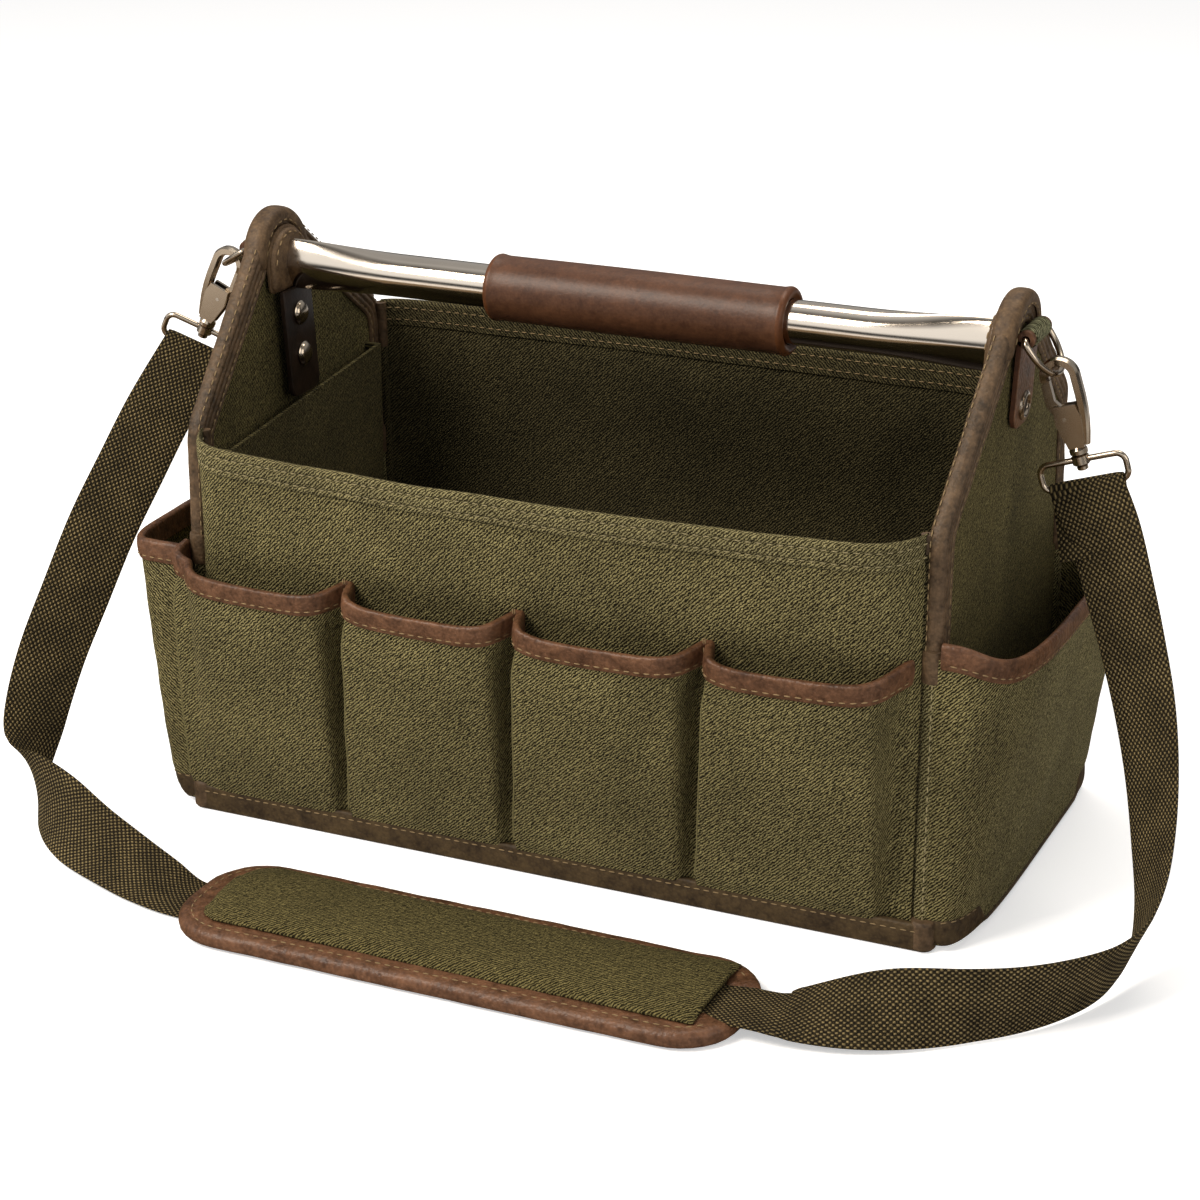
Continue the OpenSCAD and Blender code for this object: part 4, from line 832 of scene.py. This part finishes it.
def pocket_plan(z, i, side):
    """The outer face of a front (side 1) or back (side -1) pocket at a height."""
    grown = max(0.0, (z - POCKET_FOOT) / (POCKET_TOP - POCKET_FOOT))
    swell = FOOT_BELLY + (RIM_BELLY[side] - FOOT_BELLY) * grown ** 0.7 + POCKET_CANVAS
    start, end = (SEAMS[k] - side * SEAM_DRIFT[k] * (1 - min(1.0, grown)) for k in (i, i + 1))
    share = ease(z, FOLD_TOP, RIM_ROUND)
    left, right = mix(CRISP, RIM_LEFT, share), mix(BENT, RIM_RIGHT, share)
    across, depth = np.vstack([left, [2, 0] + right[-2::-1] * [-1, 1]]).T
    if i == 0:  # the first pocket's edge is shallower
        depth = depth * mix(0.8, 1, ease(across, 0, 0.5))
    x = start + SEAT / 2 + across * ((end - start - SEAT) / 2)
    y = wall_out(x, z, side) + SEAT + swell * depth
    if i:  # the others' folds lean over their neighbour
        x += 0.3 * (swell - 5) * depth * np.clip(1 - across, 0, 1)
    centre = across - 1
    rise = grown ** 3 * (RIM_LIFT * np.abs(centre) ** 5 - RIM_SAG * (1 - centre ** 2))
    return xyz(side * x, -side * y, z + rise)


def plan_normals(points, turn=1):
    """Level normals of a row of points, to the right of the way it runs, or to the left."""
    ahead = unit(np.gradient(points, axis=0))
    return unit(xyz(ahead[:, 1], -ahead[:, 0], 0)) * turn


def pocket_piece(i, side, seed):
    """A pocket's cloth. Returns the line along its fold that is drawn pale: a painted highlight."""
    word = "front" if side > 0 else "back"
    outer, inner = [], []
    for z in np.append(POCKET_FOOT - 1.6, np.linspace(POCKET_FOOT, STRIP_FOOT + 4, 44)):
        points = pocket_plan(max(z, POCKET_FOOT), i, side)
        points[:, 2] += z - max(z, POCKET_FOOT)
        normals = plan_normals(points)
        centre = np.abs(np.linspace(-1, 1, len(points)))
        free = (1 - centre ** 4) * ease(z, 14, 40) * (1 - 0.7 * ease(z, 105, 130))
        ripple = 0.9 * rough(points, 34, seed) + 0.35 * rough(points, 12, seed + 4)
        tuck = -1.6 * (1 - ease(z, 12, 20))
        points = points + normals * (free * ripple + tuck * (1 - centre ** 8))[:, None]
        outer.append(points)
        inner.append(points - normals * POCKET_CANVAS)
    piece(f"{word}_pocket_cloth_{i + 1}", sheet(outer, inner), CLOTH,
          nodes=[f"{word}_pocket_{i + 1}"], sharp=60)
    fold = int(np.argmax(CRISP[:, 1] > 0.97)) - 1
    return wire([row[fold] for row in outer[3:-3]], 0.45, 8)


def strip_part(rows_at, seed):
    """Leather folded over a pocket's rim. rows_at gives the pocket's face at a height."""
    foot, out_face, in_face = STRIP_FOOT, STRIP_PROUD, -POCKET_CANVAS - STRIP_PROUD
    half = (out_face - in_face) / 2
    top = POCKET_TOP - half
    profile = [(out_face - 0.5, foot), (out_face - 0.1, foot + 0.5)]
    profile += [(out_face + 0.45 * math.sin(math.pi * t), mix(foot + 0.8, top, t))
                for t in np.linspace(0, 1, 9)]
    profile += [*arc(((out_face + in_face) / 2, top), half, 15, 165, 9)]
    profile += [(in_face, z) for z in np.linspace(top, foot, 5)]
    grid = []
    for out, z in profile:
        points = rows_at(z)
        if out > 0:
            out = out + 0.35 * rough(points, 15, seed)[:, None]
        grid.append(points + plan_normals(points) * out)
    sewn = rows_at(foot + 2.6)
    normals = plan_normals(sewn)
    sew((sewn + normals * (out_face + 0.35))[3:-3], normals[3:-3], thread=THREAD_PALE)
    return skin(np.swapaxes(grid, 0, 1))


def wall_strip(i, side, seed):
    return strip_part(lambda z: pocket_plan(z, i, side), seed)


for side in (1, -1):
    for seam in SEAMS[1:4]:
        zs = np.linspace(STRIP_FOOT + 1, POCKET_TOP + 5, 8)
        row = xyz(side * seam, -side * (wall_out(seam, zs, side) + 4.4), zs)
        for shift in (-0.5, 0.5):
            sew(row + [shift, 0, 0], [0, -side, 0], thread=THREAD_PALE)

folds = []
for i in range(4):
    folds += [pocket_piece(i, 1, 10 + i), pocket_piece(i, -1, 20 + i)]
    piece(f"front_pocket_rim_{i + 1}", wall_strip(i, 1, 30 + i), STRIP, nodes=[f"front_pocket_strip_{i + 1}"])
# A thin pale wire along each pocket's crisp fold: painted highlight
piece("rubbed_folds", folds, FOLD_HIGHLIGHT)
piece("back_pocket_rims", [wall_strip(i, -1, 40 + i) for i in range(4)], STRIP, nodes=["back_pocket_strips"])


# End pockets: front half first in each pair of squareness and of lift at the rim's end
END_SQUARE = {1: (3, 9), -1: (9, 9)}
END_LIFT = {1: (12, 5), -1: (0, 0)}
END_BELLY = (17, 35)  # at the foot and at the rim


def end_pocket_plan(z, side):
    """An end pocket's outer face at a height, from its front edge to its back edge."""
    grown = max(0.0, (z - POCKET_FOOT) / (POCKET_TOP - POCKET_FOOT))
    half = corner_y(z) - SEAT
    reach = END_FOOT + BINDING_PROUD + mix(*END_BELLY, grown ** 0.7) + POCKET_CANVAS
    if side < 0:  # this one's foot curls in under the bag
        reach -= 11 * (1 - min(1.0, z / 20)) ** 2
    base = SEAT + (BASE_X if z < POCKET_FOOT else END_FOOT - END_LEAN * z / FRONT_TOP + BINDING_PROUD)
    a = np.linspace(0, math.pi, 1201)
    in_front = a < math.pi / 2
    exponent = 2 / np.where(in_front, *END_SQUARE[side])
    x = mix(base, reach, np.sin(a) ** exponent)
    rise = np.where(in_front, *END_LIFT[side]) * grown * np.abs(np.cos(a)) ** 6
    return even(xyz(side * x, -half * power(np.cos(a), exponent), z + rise), 121)


def end_pocket_piece(side, word):
    """An end pocket's cloth and its rim."""
    outer, inner = [], []
    for z in np.append(np.linspace(4, POCKET_FOOT, 5), np.linspace(POCKET_FOOT + 3, STRIP_FOOT + 4, 44)):
        points = end_pocket_plan(z, side)
        normals = plan_normals(points, side)
        centre = np.abs(np.linspace(-1, 1, len(points)))
        free = (1 - centre ** 6) * ease(z, 4, 30) * (1 - 0.6 * ease(z, 110, 132))
        ripple = 1.6 * rough(points, 48, side) + 0.6 * rough(points, 16, side + 4)
        tuck = -0.6 * (1 - ease(z, 4, 7))
        points = points + normals * (free * ripple + tuck * (1 - centre ** 8))[:, None]
        points[[0, -1], 0] -= side * 3.0  # each edge reaches in to the corner's piping
        outer.append(points)
        inner.append(points - normals * POCKET_CANVAS)
    piece(f"{word}_end_pocket_cloth", sheet(outer, inner), CLOTH, nodes=[f"{word}_end_pocket"], sharp=60)
    strip = strip_part(lambda z: end_pocket_plan(z, side)[::side], side + 50)
    piece(f"{word}_end_pocket_rim", strip, STRIP, nodes=[f"{word}_end_pocket_strip"])


def foot_wrap(side, word):
    """Leather folded round an end's foot: high at both corners, a narrow edge between them."""
    foot, head, steps = 3.2, 18, 7
    plans = np.array([end_pocket_plan(z, side) for z in np.linspace(foot, head, steps + 1)])
    normals = plan_normals(plans[0], side)
    run = lengths(plans[0])
    columns = np.arange(len(run))
    top = 5 + 12 * (1 - ease(np.minimum(run, run[-1] - run), 30, 42))
    outer, inner = [], []
    for share in np.linspace(0, 1, 9):
        at = (mix(foot, top, share) - foot) / (head - foot) * steps
        low = np.minimum(at.astype(int), steps - 1)
        points = mix(plans[low, columns], plans[low + 1, columns], (at - low)[:, None])
        for grid, extra in ((outer, 0.7 - 1.2 * abs(2 * share - 1) ** 3), (inner, -1.2)):
            row = points + normals * extra
            ends = row[[0, -1]]
            ends[:, 0] = side * 197  # both ends reach in under the corners' pipings
            grid.append(np.vstack([ends[:1], row, ends[1:]]))
    piece(f"{word}_foot_leather", sheet(outer, inner), BAND)
    sew(outer[7][4:16] + normals[3:15] * 0.3, normals[3:15])


for side, word in SIDES:
    end_pocket_piece(side, word)
    foot_wrap(side, word)

# CAD nodes that show as they are
# The inner pockets and the bottom take the darker inside canvas: painted shade
for node, mat in (("left_inner_pocket", CLOTH_SHADED_IN_END), ("right_inner_pocket", CLOTH_SHADED_IN_END),
                  ("bottom_panel", CLOTH_SHADED_IN), ("base_board", DARK), ("pad_base", STRIP)):
    dress(node, mat)


# Handle
def tube_part():
    """The steel tube, round along its length and pinched tall and thin at its ends."""
    end = END_FOOT - END_LEAN - 10.6 + (HANDLE_Z - FRONT_TOP) * math.tan(TILT)
    flare, flat_tall, flat_deep = 66.0, 13.2, 6.0
    near_end = np.linspace(end - flare, end, 40)
    xs = np.concatenate([-near_end[::-1], np.linspace(-end + flare + 6, end - flare - 6, 50), near_end])
    grow = ease(np.abs(xs), end - flare, end - 4)[:, None]
    across, up = ring_section(1, 72).T
    exponent = 2 / mix(2.0, 1.4, grow)
    sections = np.stack([mix(TUBE_R, flat_deep, grow) * power(across, exponent),
                         mix(TUBE_R, flat_tall, grow) * power(up, exponent)], -1)
    return sweep(xyz(xs, 0, HANDLE_Z), [0, 1, 0], [0, 0, 1], sections)


piece("tube", tube_part(), STEEL, nodes=["handle_tube"], sharp=70)


def grip_piece():
    """The leather sleeve: smooth, a little sunk between its rolled ends, hollow round the tube."""
    bore, roll, half = TUBE_R + 0.4, 2.7, GRIP_LENGTH / 2
    body = [(x, GRIP_R - 0.45 + 0.15 * math.cos(math.pi * x / half))
            for x in np.linspace(-half + 6, half - 6, 30)]
    profile = np.vstack([[(-half + 1.2, bore)], arc((-half + roll, GRIP_R - roll), roll, 220, 70, 12), body,
                         arc((half - roll, GRIP_R - roll), roll, 110, -40, 12), [(half - 1.2, bore)]])
    across, up = ring_section(1, 64).T
    grid = xyz(profile[:, :1] + GRIP_MIDDLE, profile[:, 1:] * across, HANDLE_Z + profile[:, 1:] * up)
    obj = piece("leather_grip", skin(grid, closed=True), GRIP, body="grip", nodes=["grip_sleeve"])
    second_material(obj, GRIP_EDGE, lambda face: abs(face.center.x / MM - GRIP_MIDDLE) > half - 3.2)


grip_piece()


def plate_part(side, outline, out_low, out_high, bevel=0.5, steps=0):
    """A plate on an end's upper part with bevelled edges, or with steps, rounded towards out_low.
    The outline is (y, up)."""
    outline = np.asarray(outline, float)
    centre = (outline.min(0) + outline.max(0)) / 2
    reach = np.abs(outline - centre).max()

    def drawn_in(amount):
        return centre + (outline - centre) * (1 - amount / reach)

    rings = [(drawn_in(bevel), out_low), (outline, out_low + 0.6 * bevel),
             (outline, out_high - 0.6 * bevel), (drawn_in(bevel), out_high)]
    if steps:
        rings = [(outline, out_high)] + [
            (drawn_in(bevel * (1 - math.cos(a))), out_low + bevel * (1 - math.sin(a)))
            for a in np.radians(np.linspace(0, 90, steps + 1))]
    return skin([above_bend(side, out, *ring.T) for ring, out in rings])


def arch_outline(r, drop, corner):
    """An arch round the tube's axis: a half circle with straight legs and rounded feet."""
    axis_up = (HANDLE_Z - FRONT_TOP) / math.cos(TILT)
    foot_up = axis_up - drop + corner
    return np.vstack([arc((0, axis_up), r, 0, 180, 33), arc((corner - r, foot_up), corner, 180, 270, 7),
                      arc((r - corner, foot_up), corner, 270, 360, 7)])


def collar_part(side):
    """The smooth leather arch that closes round the tube's flat end, with one row of stitches."""
    sew(above_bend(side, -12.5, *arch_outline(15.8, 11, 3)[2:31].T), [-side, 0, 0], thread=THREAD_PALE)
    return plate_part(side, arch_outline(17.8, 13, 4), -12.4, -7.8, 2.6, 8)


def tab_outline(half, foot, top, r, top_r):
    return rounded(2 * half, top - foot, [top_r, top_r, r, r], 6) + [0, (top + foot) / 2]


def stud_part(side, out, up, profile, count, way=1):
    """A turned form that stands on an end's upper part, out from it or (way -1) into the bag."""
    centre = above_bend(side, out, 0, up)
    return lathe(profile, centre, above_bend(side, out + way, 0, up) - centre, count)


for side, word in SIDES:
    piece(f"{word}_handle_collar",
          [collar_part(side), plate_part(side, arch_outline(19.2, 13.4, 4), -9.4, -7.8)], CAP,
          nodes=[f"{word}_bracket"])
    piece(f"{word}_inner_tab", plate_part(side, tab_outline(TAB_HALF, -9, 48.2, 5, 0.5), -13.6, -10.6, 0.8), DARK,
          nodes=[f"{word}_inner_strap"], sharp=30)

# Domed heads inside, rolled eyelets outside, each with a dark disc in its hollow: painted shade
DOME = [(0, 5.76), (0.15, 6.4), (0.5, 6.4), *arc((0.5, 0), (2.8, 5.888), 82, 0, 9)]
EYELET = [(0, 7.2), (0.9, 7.1), (1.6, 6.3), (1.8, 5.5), (1.4, 4.7), (0.5, 4.2), (0.4, 1.2)]
EYELET_SHADE = [(0, 4.4), (0.6, 4.3), (0.7, 0.5)]
RIVET_UP, LOW_RIVET_UP = 34, 12
piece("rivet_heads",
      [stud_part(side, -13.9, up, DOME, 32, -1) for side in (1, -1) for up in (RIVET_UP, LOW_RIVET_UP)]
      + [stud_part(side, TAB_HIGH, RIVET_UP, EYELET, 36) for side in (1, -1)],
      NICKEL, nodes=["handle_rivets"], sharp=35)
# Dark discs sunk in the eyelets' hollows: painted shade
piece("eyelet_wells", [stud_part(side, TAB_HIGH, RIVET_UP, EYELET_SHADE, 24) for side in (1, -1)], DARK)


# Outer tabs, rings, hooks and eyes
def loop_part(side, half, r, bore):
    """The tab's loop round the ring's straight bar."""
    centre = above_bend(side, LOOP_X, 0, LOOP_V)
    across, up = ring_section(1, 28).T
    y = np.linspace(-half, half, 7)[:, None]
    return sheet(*(centre + xyz(side * q * across, y, q * up) for q in (r, bore)), loop=True)


for side, word in SIDES:
    tab = plate_part(side, tab_outline(TAB_HALF, 24, LOOP_V, 9, 1), TAB_LOW, TAB_HIGH)
    tab = piece(f"{word}_ring_tab", [tab, loop_part(side, TAB_HALF, LOOP_R, 2.1)], STRIP,
                nodes=[f"{word}_outer_tab"], sharp=35)
    second_material(tab, CUT, lambda face: abs(face.normal.x) < 0.5 and face.center.z / MM < 262)
    piece(f"{word}_loop_canvas", loop_part(side, 11, 4.9, 4.32), CLOTH_LOOP)


def ring_part(side):
    """The D ring: a straight bar, two short legs and a half circle."""
    swing = math.radians(RING_SWING[side])
    bend = 3.0
    end = RING_R - bend
    outline = np.vstack([[(y, 0) for y in np.linspace(-end, end, 12)], arc((end, bend), bend, -78.54, 0, 6),
                         arc((0, RING_LEG), RING_R, 0, 180, 40), arc((-end, bend), bend, 180, 258.54, 6)])
    path = xyz(side * LOOP[0], 0, LOOP[1]) + outline[:, :1] * [0, 1, 0]
    path = path + outline[:, 1:] * xyz(side * math.sin(swing), 0, -math.cos(swing))
    return wire(path, RING_WIRE, 14, closed=True)


def eye_part(side):
    """The swivel eye: a rounded rectangle of wire that passes through a turned hub."""
    top, way, up = eye_frame(side)
    outline = rounded(WEB_WIDTH + 2 * EYE_WIRE + 2.8, EYE_HIGH, 4.5, 8) - [0, EYE_HIGH / 2]
    loop = wire(top + outline[:, :1] * way + outline[:, 1:] * up, EYE_WIRE, 14, closed=True)
    spot = hook_frame(side)[0]
    hub = [(0, 3.4), (0.6, 4.2), (4.4, 4.2), (5, 3.4)]
    head = [(-2.6, 1.8), (-2.2, 2.6), (-0.8, 2.7), (-0.2, 1.6), (0.5, 1.6)]
    return [loop] + [lathe(np.array(profile) + [HUB_FOOT, 0], spot, up, count)
                     for profile, count in ((hub, 32), (head, 24))]


def hook_part(side):
    """The hook's bowl and spine as one bevelled bar, over a tapered body with a slot and a collar."""
    spot, out, back, up = hook_frame(side)
    line = np.vstack([arc((0, BOWL_Z), BOWL_R, 190, -4, 30),
                      [(7.5, -12), (7.3, -18), (6.6, -24), (5.4, -30), (4.0, -35.5)]])
    path = spot + line[:, :1] * out + line[:, 1:] * up
    across = np.cross(unit(np.gradient(path, axis=0)), back)
    deep = np.interp(np.arange(len(line)), [0, 4, 30, len(line) - 1], [2.2, 3.1, 3.1, 2.4])
    bevel = np.array([(1, 0.45), (0.6, 1), (-0.6, 1), (-1, 0.45),
                      (-1, -0.45), (-0.6, -1), (0.6, -1), (1, -0.45)])
    parts = [sweep(path, across, back, bevel * np.stack([np.full(len(line), 2.3), deep], -1)[:, None])]
    cheek = np.array([(-6.4, -15.5), (4.6, -15.5), (6.2, -22), (4.2, -36.6), (-3.4, -36.6), (-7.0, -24)])
    cheek = spot + cheek[:, :1] * out + cheek[:, 1:] * up
    parts += [skin([cheek + low * back, cheek + high * back]) for low, high in ((-3.4, -1.8), (1.8, 3.4))]
    collar = [(-40.2, 3.4), (-39.8, 4.3), (-37.8, 4.4), (-36.8, 3.8), (-36.0, 3.2)]
    spine = [(-37, 2.2), (-22, 2.4), (-21, 1.0)]
    return parts + [lathe(collar, spot, up, 28), lathe(spine, spot, up, 12)]


for side, word in SIDES:
    for name, part, body, node, sharp in (("d_ring", ring_part(side), f"{word}_ring", "ring", 48),
                                          ("snap_hook", hook_part(side), f"{word}_hook", "hook", 25),
                                          ("swivel_eye", eye_part(side), "root", "eye", 48)):
        piece(f"{word}_{name}", part, NICKEL, body=body, nodes=[f"{word}_{node}"], sharp=sharp)
    for node in ("gate_pin", "gate_spring"):
        dress(f"{word}_{node}", BRIGHT)
    bevel = dress(f"{word}_gate", NICKEL).modifiers.new("soft edges", "BEVEL")
    bevel.width = 0.0005
    bevel.segments = 2
    bevel.limit_method = "ANGLE"
    bevel.angle_limit = math.radians(40)


# Shoulder pad
def pad_edge_piece():
    """Rolled leather round the pad's edge, open below where the webbing passes."""
    path, normals = round_plan(PAD_LENGTH, PAD_WIDTH, 30, 4.0, (PAD_X, PAD_Y))
    out, up = (rounded(16.0, 8.6, [4.0, 0.8, 0.8, 3.4], 5) + [-8.0, 5.0]).T
    out = out + (out > -3) * 0.4 * rough(path, 18, 9)[:, None]
    up = up + (up > 5) * 0.35 * rough(path, 14, 3)[:, None]
    x, y = path[:, 0] - PAD_X, np.abs(path[:, 1] - PAD_Y)
    crossed = y < WEB_WIDTH / 2 + 1
    for end, limit, level in ((x > 0, np.minimum, 6.2), (x < 0, np.maximum, 3.4)):
        up[crossed & end] = limit(up[crossed & end], level)
    piece("pad_rolled_edge", sweep(path, normals, [0, 0, 1], np.stack([out, up], -1), closed=True), STRIP,
          body="pad", nodes=["pad_binding"])
    row = path - normals * 6.6 + [0, 0, 9.3]
    keep = [k for k in range(len(path)) if not (y[k] < 30 and x[k] > 120)]  # none at the right end
    start = keep.index(max(keep, key=lambda k: path[k, 0] * (path[k, 1] > PAD_Y)))
    sew(row[keep[start:] + keep[:start]], [0, 0, 1], body="pad")


pad_edge_piece()


def cushion_piece():
    """The pad's canvas top, swollen with cloth pressure from a slightly smaller form."""
    left_end = 20 * (1 - np.cos(np.linspace(0, math.pi / 2, 14))) - 131
    x = np.append(left_end, np.linspace(-106, 129, 60))[:, None]
    share = np.sin(np.linspace(-1, 1, 31) * math.pi / 2)
    corner_r = 16
    past = np.where(x < 0, np.maximum(0, corner_r - (PAD_LENGTH / 2 - 13.6 - np.abs(x))), 0)
    room = 31 - corner_r + np.sqrt(np.maximum(0, corner_r ** 2 - past ** 2))
    y = share * room
    crown = 1 - 0.3 * np.abs(x / 140) ** 8
    top = xyz(PAD_X + x, PAD_Y + 1.6 + y, 9.9 + 3.2 * (1 - np.abs(share) ** 3) * crown)
    low = xyz(PAD_X + x, PAD_Y + 1.6 + y, np.where(np.abs(y) > 20.8, 8.6, 9.35))
    return piece("pad_canvas_top", sheet(top, low), CLOTH_PAD, body="pad", nodes=["pad_cushion"], sharp=70)


def coordinates(mesh):
    flat = np.empty(len(mesh.vertices) * 3)
    mesh.vertices.foreach_get("co", flat)
    return flat.reshape(-1, 3)


def swell(obj, cell, cap):
    """Cloth pressure on a remeshed copy of the shape, with each point's travel capped."""
    remesh = obj.modifiers.new("remesh", "REMESH")
    remesh.mode = "VOXEL"
    remesh.voxel_size = cell * MM
    settle(obj)
    rest = coordinates(obj.data)
    cloth = obj.modifiers.new("cloth", "CLOTH")
    cloth.settings.use_pressure = True
    cloth.settings.uniform_pressure_force = 4
    cloth.settings.effector_weights.gravity = 0
    cloth.settings.tension_stiffness = 30
    cloth.settings.compression_stiffness = 30
    for number in range(1, 21):
        scene.frame_set(number)
    move = coordinates(obj.evaluated_get(bpy.context.evaluated_depsgraph_get()).data) - rest
    scene.frame_set(1)
    obj.modifiers.clear()
    size = np.linalg.norm(move, axis=1, keepdims=True)
    points = rest + move * np.minimum(1, cap * MM / np.maximum(size, 1e-9))
    under = rest[:, 2] < 9.45 * MM  # the seat on the pad's base stays put
    points[under, 2] = np.maximum(points[under, 2], rest[under, 2])
    points[:, 2] = np.maximum(points[:, 2], rest[:, 2] - 0.2 * MM)
    obj.data.vertices.foreach_set("co", points.ravel())
    smooth = obj.modifiers.new("smooth", "SUBSURF")
    smooth.levels = smooth.render_levels = 1
    settle(obj)
    obj.data.shade_smooth()


cushion = cushion_piece()
swell(cushion, cell=2.4, cap=1.2)


# Stitches
def stitch_tree():
    """Stands an instance of a thread stitch every pitch along each sewn row."""
    tree = bpy.data.node_groups.new("stitches", "GeometryNodeTree")
    socket = tree.interface.new_socket
    socket("Geometry", in_out="INPUT", socket_type="NodeSocketGeometry")
    for label, value in (("Pitch", 0.0050), ("Length", 0.0034), ("Thickness", 0.0007)):
        socket(label, in_out="INPUT", socket_type="NodeSocketFloat").default_value = value
    socket("Material", in_out="INPUT", socket_type="NodeSocketMaterial")
    socket("Geometry", in_out="OUTPUT", socket_type="NodeSocketGeometry")
    given = node_in(tree, "NodeGroupInput").outputs

    def made(kind, output, inputs=None, **settings):
        return node_in(tree, kind, inputs, **settings).outputs[output]

    curve = made("GeometryNodeMeshToCurve", "Curve", {"Mesh": given["Geometry"]})
    spots = made("GeometryNodeResampleCurve", "Curve", {"Curve": curve, "Length": given["Pitch"]},
                 mode="LENGTH")
    ball = made("GeometryNodeMeshUVSphere", "Mesh", {"Segments": 8, "Rings": 6, "Radius": 0.5})
    size = made("ShaderNodeCombineXYZ", 0, {0: given["Length"], 1: given["Thickness"], 2: given["Thickness"]})
    stitch = made("GeometryNodeTransform", "Geometry", {"Geometry": ball, "Scale": size})
    lift = made("GeometryNodeInputNamedAttribute", "Attribute", {"Name": "lift"}, data_type="FLOAT_VECTOR")
    turn = made("FunctionNodeAxesToRotation", "Rotation",
                {"Primary Axis": made("GeometryNodeInputTangent", "Tangent"), "Secondary Axis": lift},
                primary_axis="X", secondary_axis="Z")
    stood = made("GeometryNodeInstanceOnPoints", "Instances",
                 {"Points": spots, "Instance": stitch, "Rotation": turn})
    real = made("GeometryNodeRealizeInstances", "Geometry", {"Geometry": stood})
    painted = made("GeometryNodeSetMaterial", "Geometry", {"Geometry": real, "Material": given["Material"]})
    node_in(tree, "NodeGroupOutput", {"Geometry": painted})
    return tree


def stitch_piece(name, rows, body, thread, tree):
    """One piece of stitches, turned into a plain mesh."""
    mesh = bpy.data.meshes.new(name + "_rows")
    points, edges, lifts, shift = [], [], [], 0
    for p, lift in rows:
        points += (p * MM).tolist()
        lifts.append(lift)
        edges += [(shift + k, shift + k + 1) for k in range(len(p) - 1)]
        shift += len(p)
    mesh.from_pydata(points, edges, [])
    layer = mesh.attributes.new("lift", "FLOAT_VECTOR", "POINT")
    layer.data.foreach_set("vector", np.vstack(lifts).ravel())
    obj = bpy.data.objects.new(name, mesh)
    scene.collection.objects.link(obj)
    made = obj.modifiers.new("stitches", "NODES")
    made.node_group = tree
    for item in tree.interface.items_tree:
        if item.item_type == "SOCKET" and item.in_out == "INPUT" and item.name == "Material":
            made[item.identifier] = thread
    settle(obj)
    obj.data.shade_smooth()
    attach(obj, body)


tree = stitch_tree()
groups = {}
for points, lift, body, thread in SEWN:
    groups.setdefault((body, thread.name), []).append((points, lift))
for (body, thread), rows in groups.items():
    stitch_piece(f"stitches_{body}_{thread}", rows, body, bpy.data.materials[thread], tree)

# The webbing's middle line in metres
path = [tuple(p * MM) for p in web_path]

# Light, floor and background
# White for the camera, even for the cloth. What shines sees a bright panel in front, a dark
# horizon and a dim room behind.
world = bpy.data.worlds.new("studio")
scene.world = world
world.use_nodes = True
rays = add(world, "LightPath").outputs
way = add(world, "SeparateXYZ", {0: add(world, "TexCoord").outputs["Generated"]}).outputs
front = span(world, way[1], 0.1, -0.3)
panel = calc(world, "MULTIPLY", span(world, way[2], 0.08, 0.2), span(world, way[2], 0.76, 0.56))
panel = calc(world, "MULTIPLY", panel, front)
behind = span(world, way[2], 0.14, 0.34, 0, 0.42)
behind = calc(world, "MULTIPLY", behind, calc(world, "SUBTRACT", 1.0, front))
shine = calc(world, "MULTIPLY_ADD", panel, 1.25, calc(world, "ADD", behind, -0.26))
shine = calc(world, "ADD", shine, span(world, way[2], 0.86, 0.96, 0, 0.4))
even_light = calc(world, "MULTIPLY_ADD", rays["Is Camera Ray"], 0.68, 0.32)
strength = calc(world, "MULTIPLY_ADD", rays["Is Glossy Ray"], shine, even_light)
back = world.node_tree.nodes["Background"]
world.node_tree.links.new(strength, back.inputs["Strength"])
back.inputs["Color"].default_value = (1, 1, 1, 1)

LAMP_TINT = colour("#FFF6EA")[:3]
for name, spot, aim, size, power in (("key", (-0.9, -1.3, 1.7), (0, 0, 0.1), (0.9, 0.9), 46),
                                     ("right_fill", (1.7, -0.6, 0.9), (0.1, 0, 0.12), (0.8, 1.2), 6),
                                     ("top", (0.1, 0.5, 1.7), (0, 0, 0.1), (1.2, 0.6), 13)):
    light = bpy.data.lights.new(name, "AREA")
    light.shape = "RECTANGLE"
    light.size, light.size_y = size
    light.energy = power
    light.color = LAMP_TINT
    obj = bpy.data.objects.new(name, light)
    obj.location = spot
    obj.rotation_euler = (Vector(aim) - Vector(spot)).to_track_quat("-Z", "Y").to_euler()
    scene.collection.objects.link(obj)

floor_mesh = bpy.data.meshes.new("floor")
floor_mesh.from_pydata([(6 * x, 6 * y, -0.0002) for x, y in ((-1, -1), (1, -1), (1, 1), (-1, 1))],
                       [], [(0, 1, 2, 3)])
floor_mat = material("white_floor", Roughness=0.9, Specular_IOR_Level=0.0, Emission_Color=(1, 1, 1, 1))
rays = add(floor_mat, "LightPath").outputs
# In reflections only, the floor near the bag turns dark brown: a painted reflection that darkens the metals'
# lower side
near = add(floor_mat, "VectorMath", {0: own_place(floor_mat)}, operation="LENGTH")
near = calc(floor_mat, "MULTIPLY", rays["Is Glossy Ray"], span(floor_mat, near.outputs["Value"], 1.15, 0.95))
wire_up(floor_mat, blend_colour(floor_mat, near, (0.97, 0.98, 1, 1), (0.2, 0.15, 0.1, 1)),
        Emission_Strength=calc(floor_mat, "MULTIPLY", rays["Is Camera Ray"], 0.47))
floor_mesh.materials.append(floor_mat)
floor = bpy.data.objects.new("floor", floor_mesh)
scene.collection.objects.link(floor)
scene.view_settings.view_transform = "Standard"
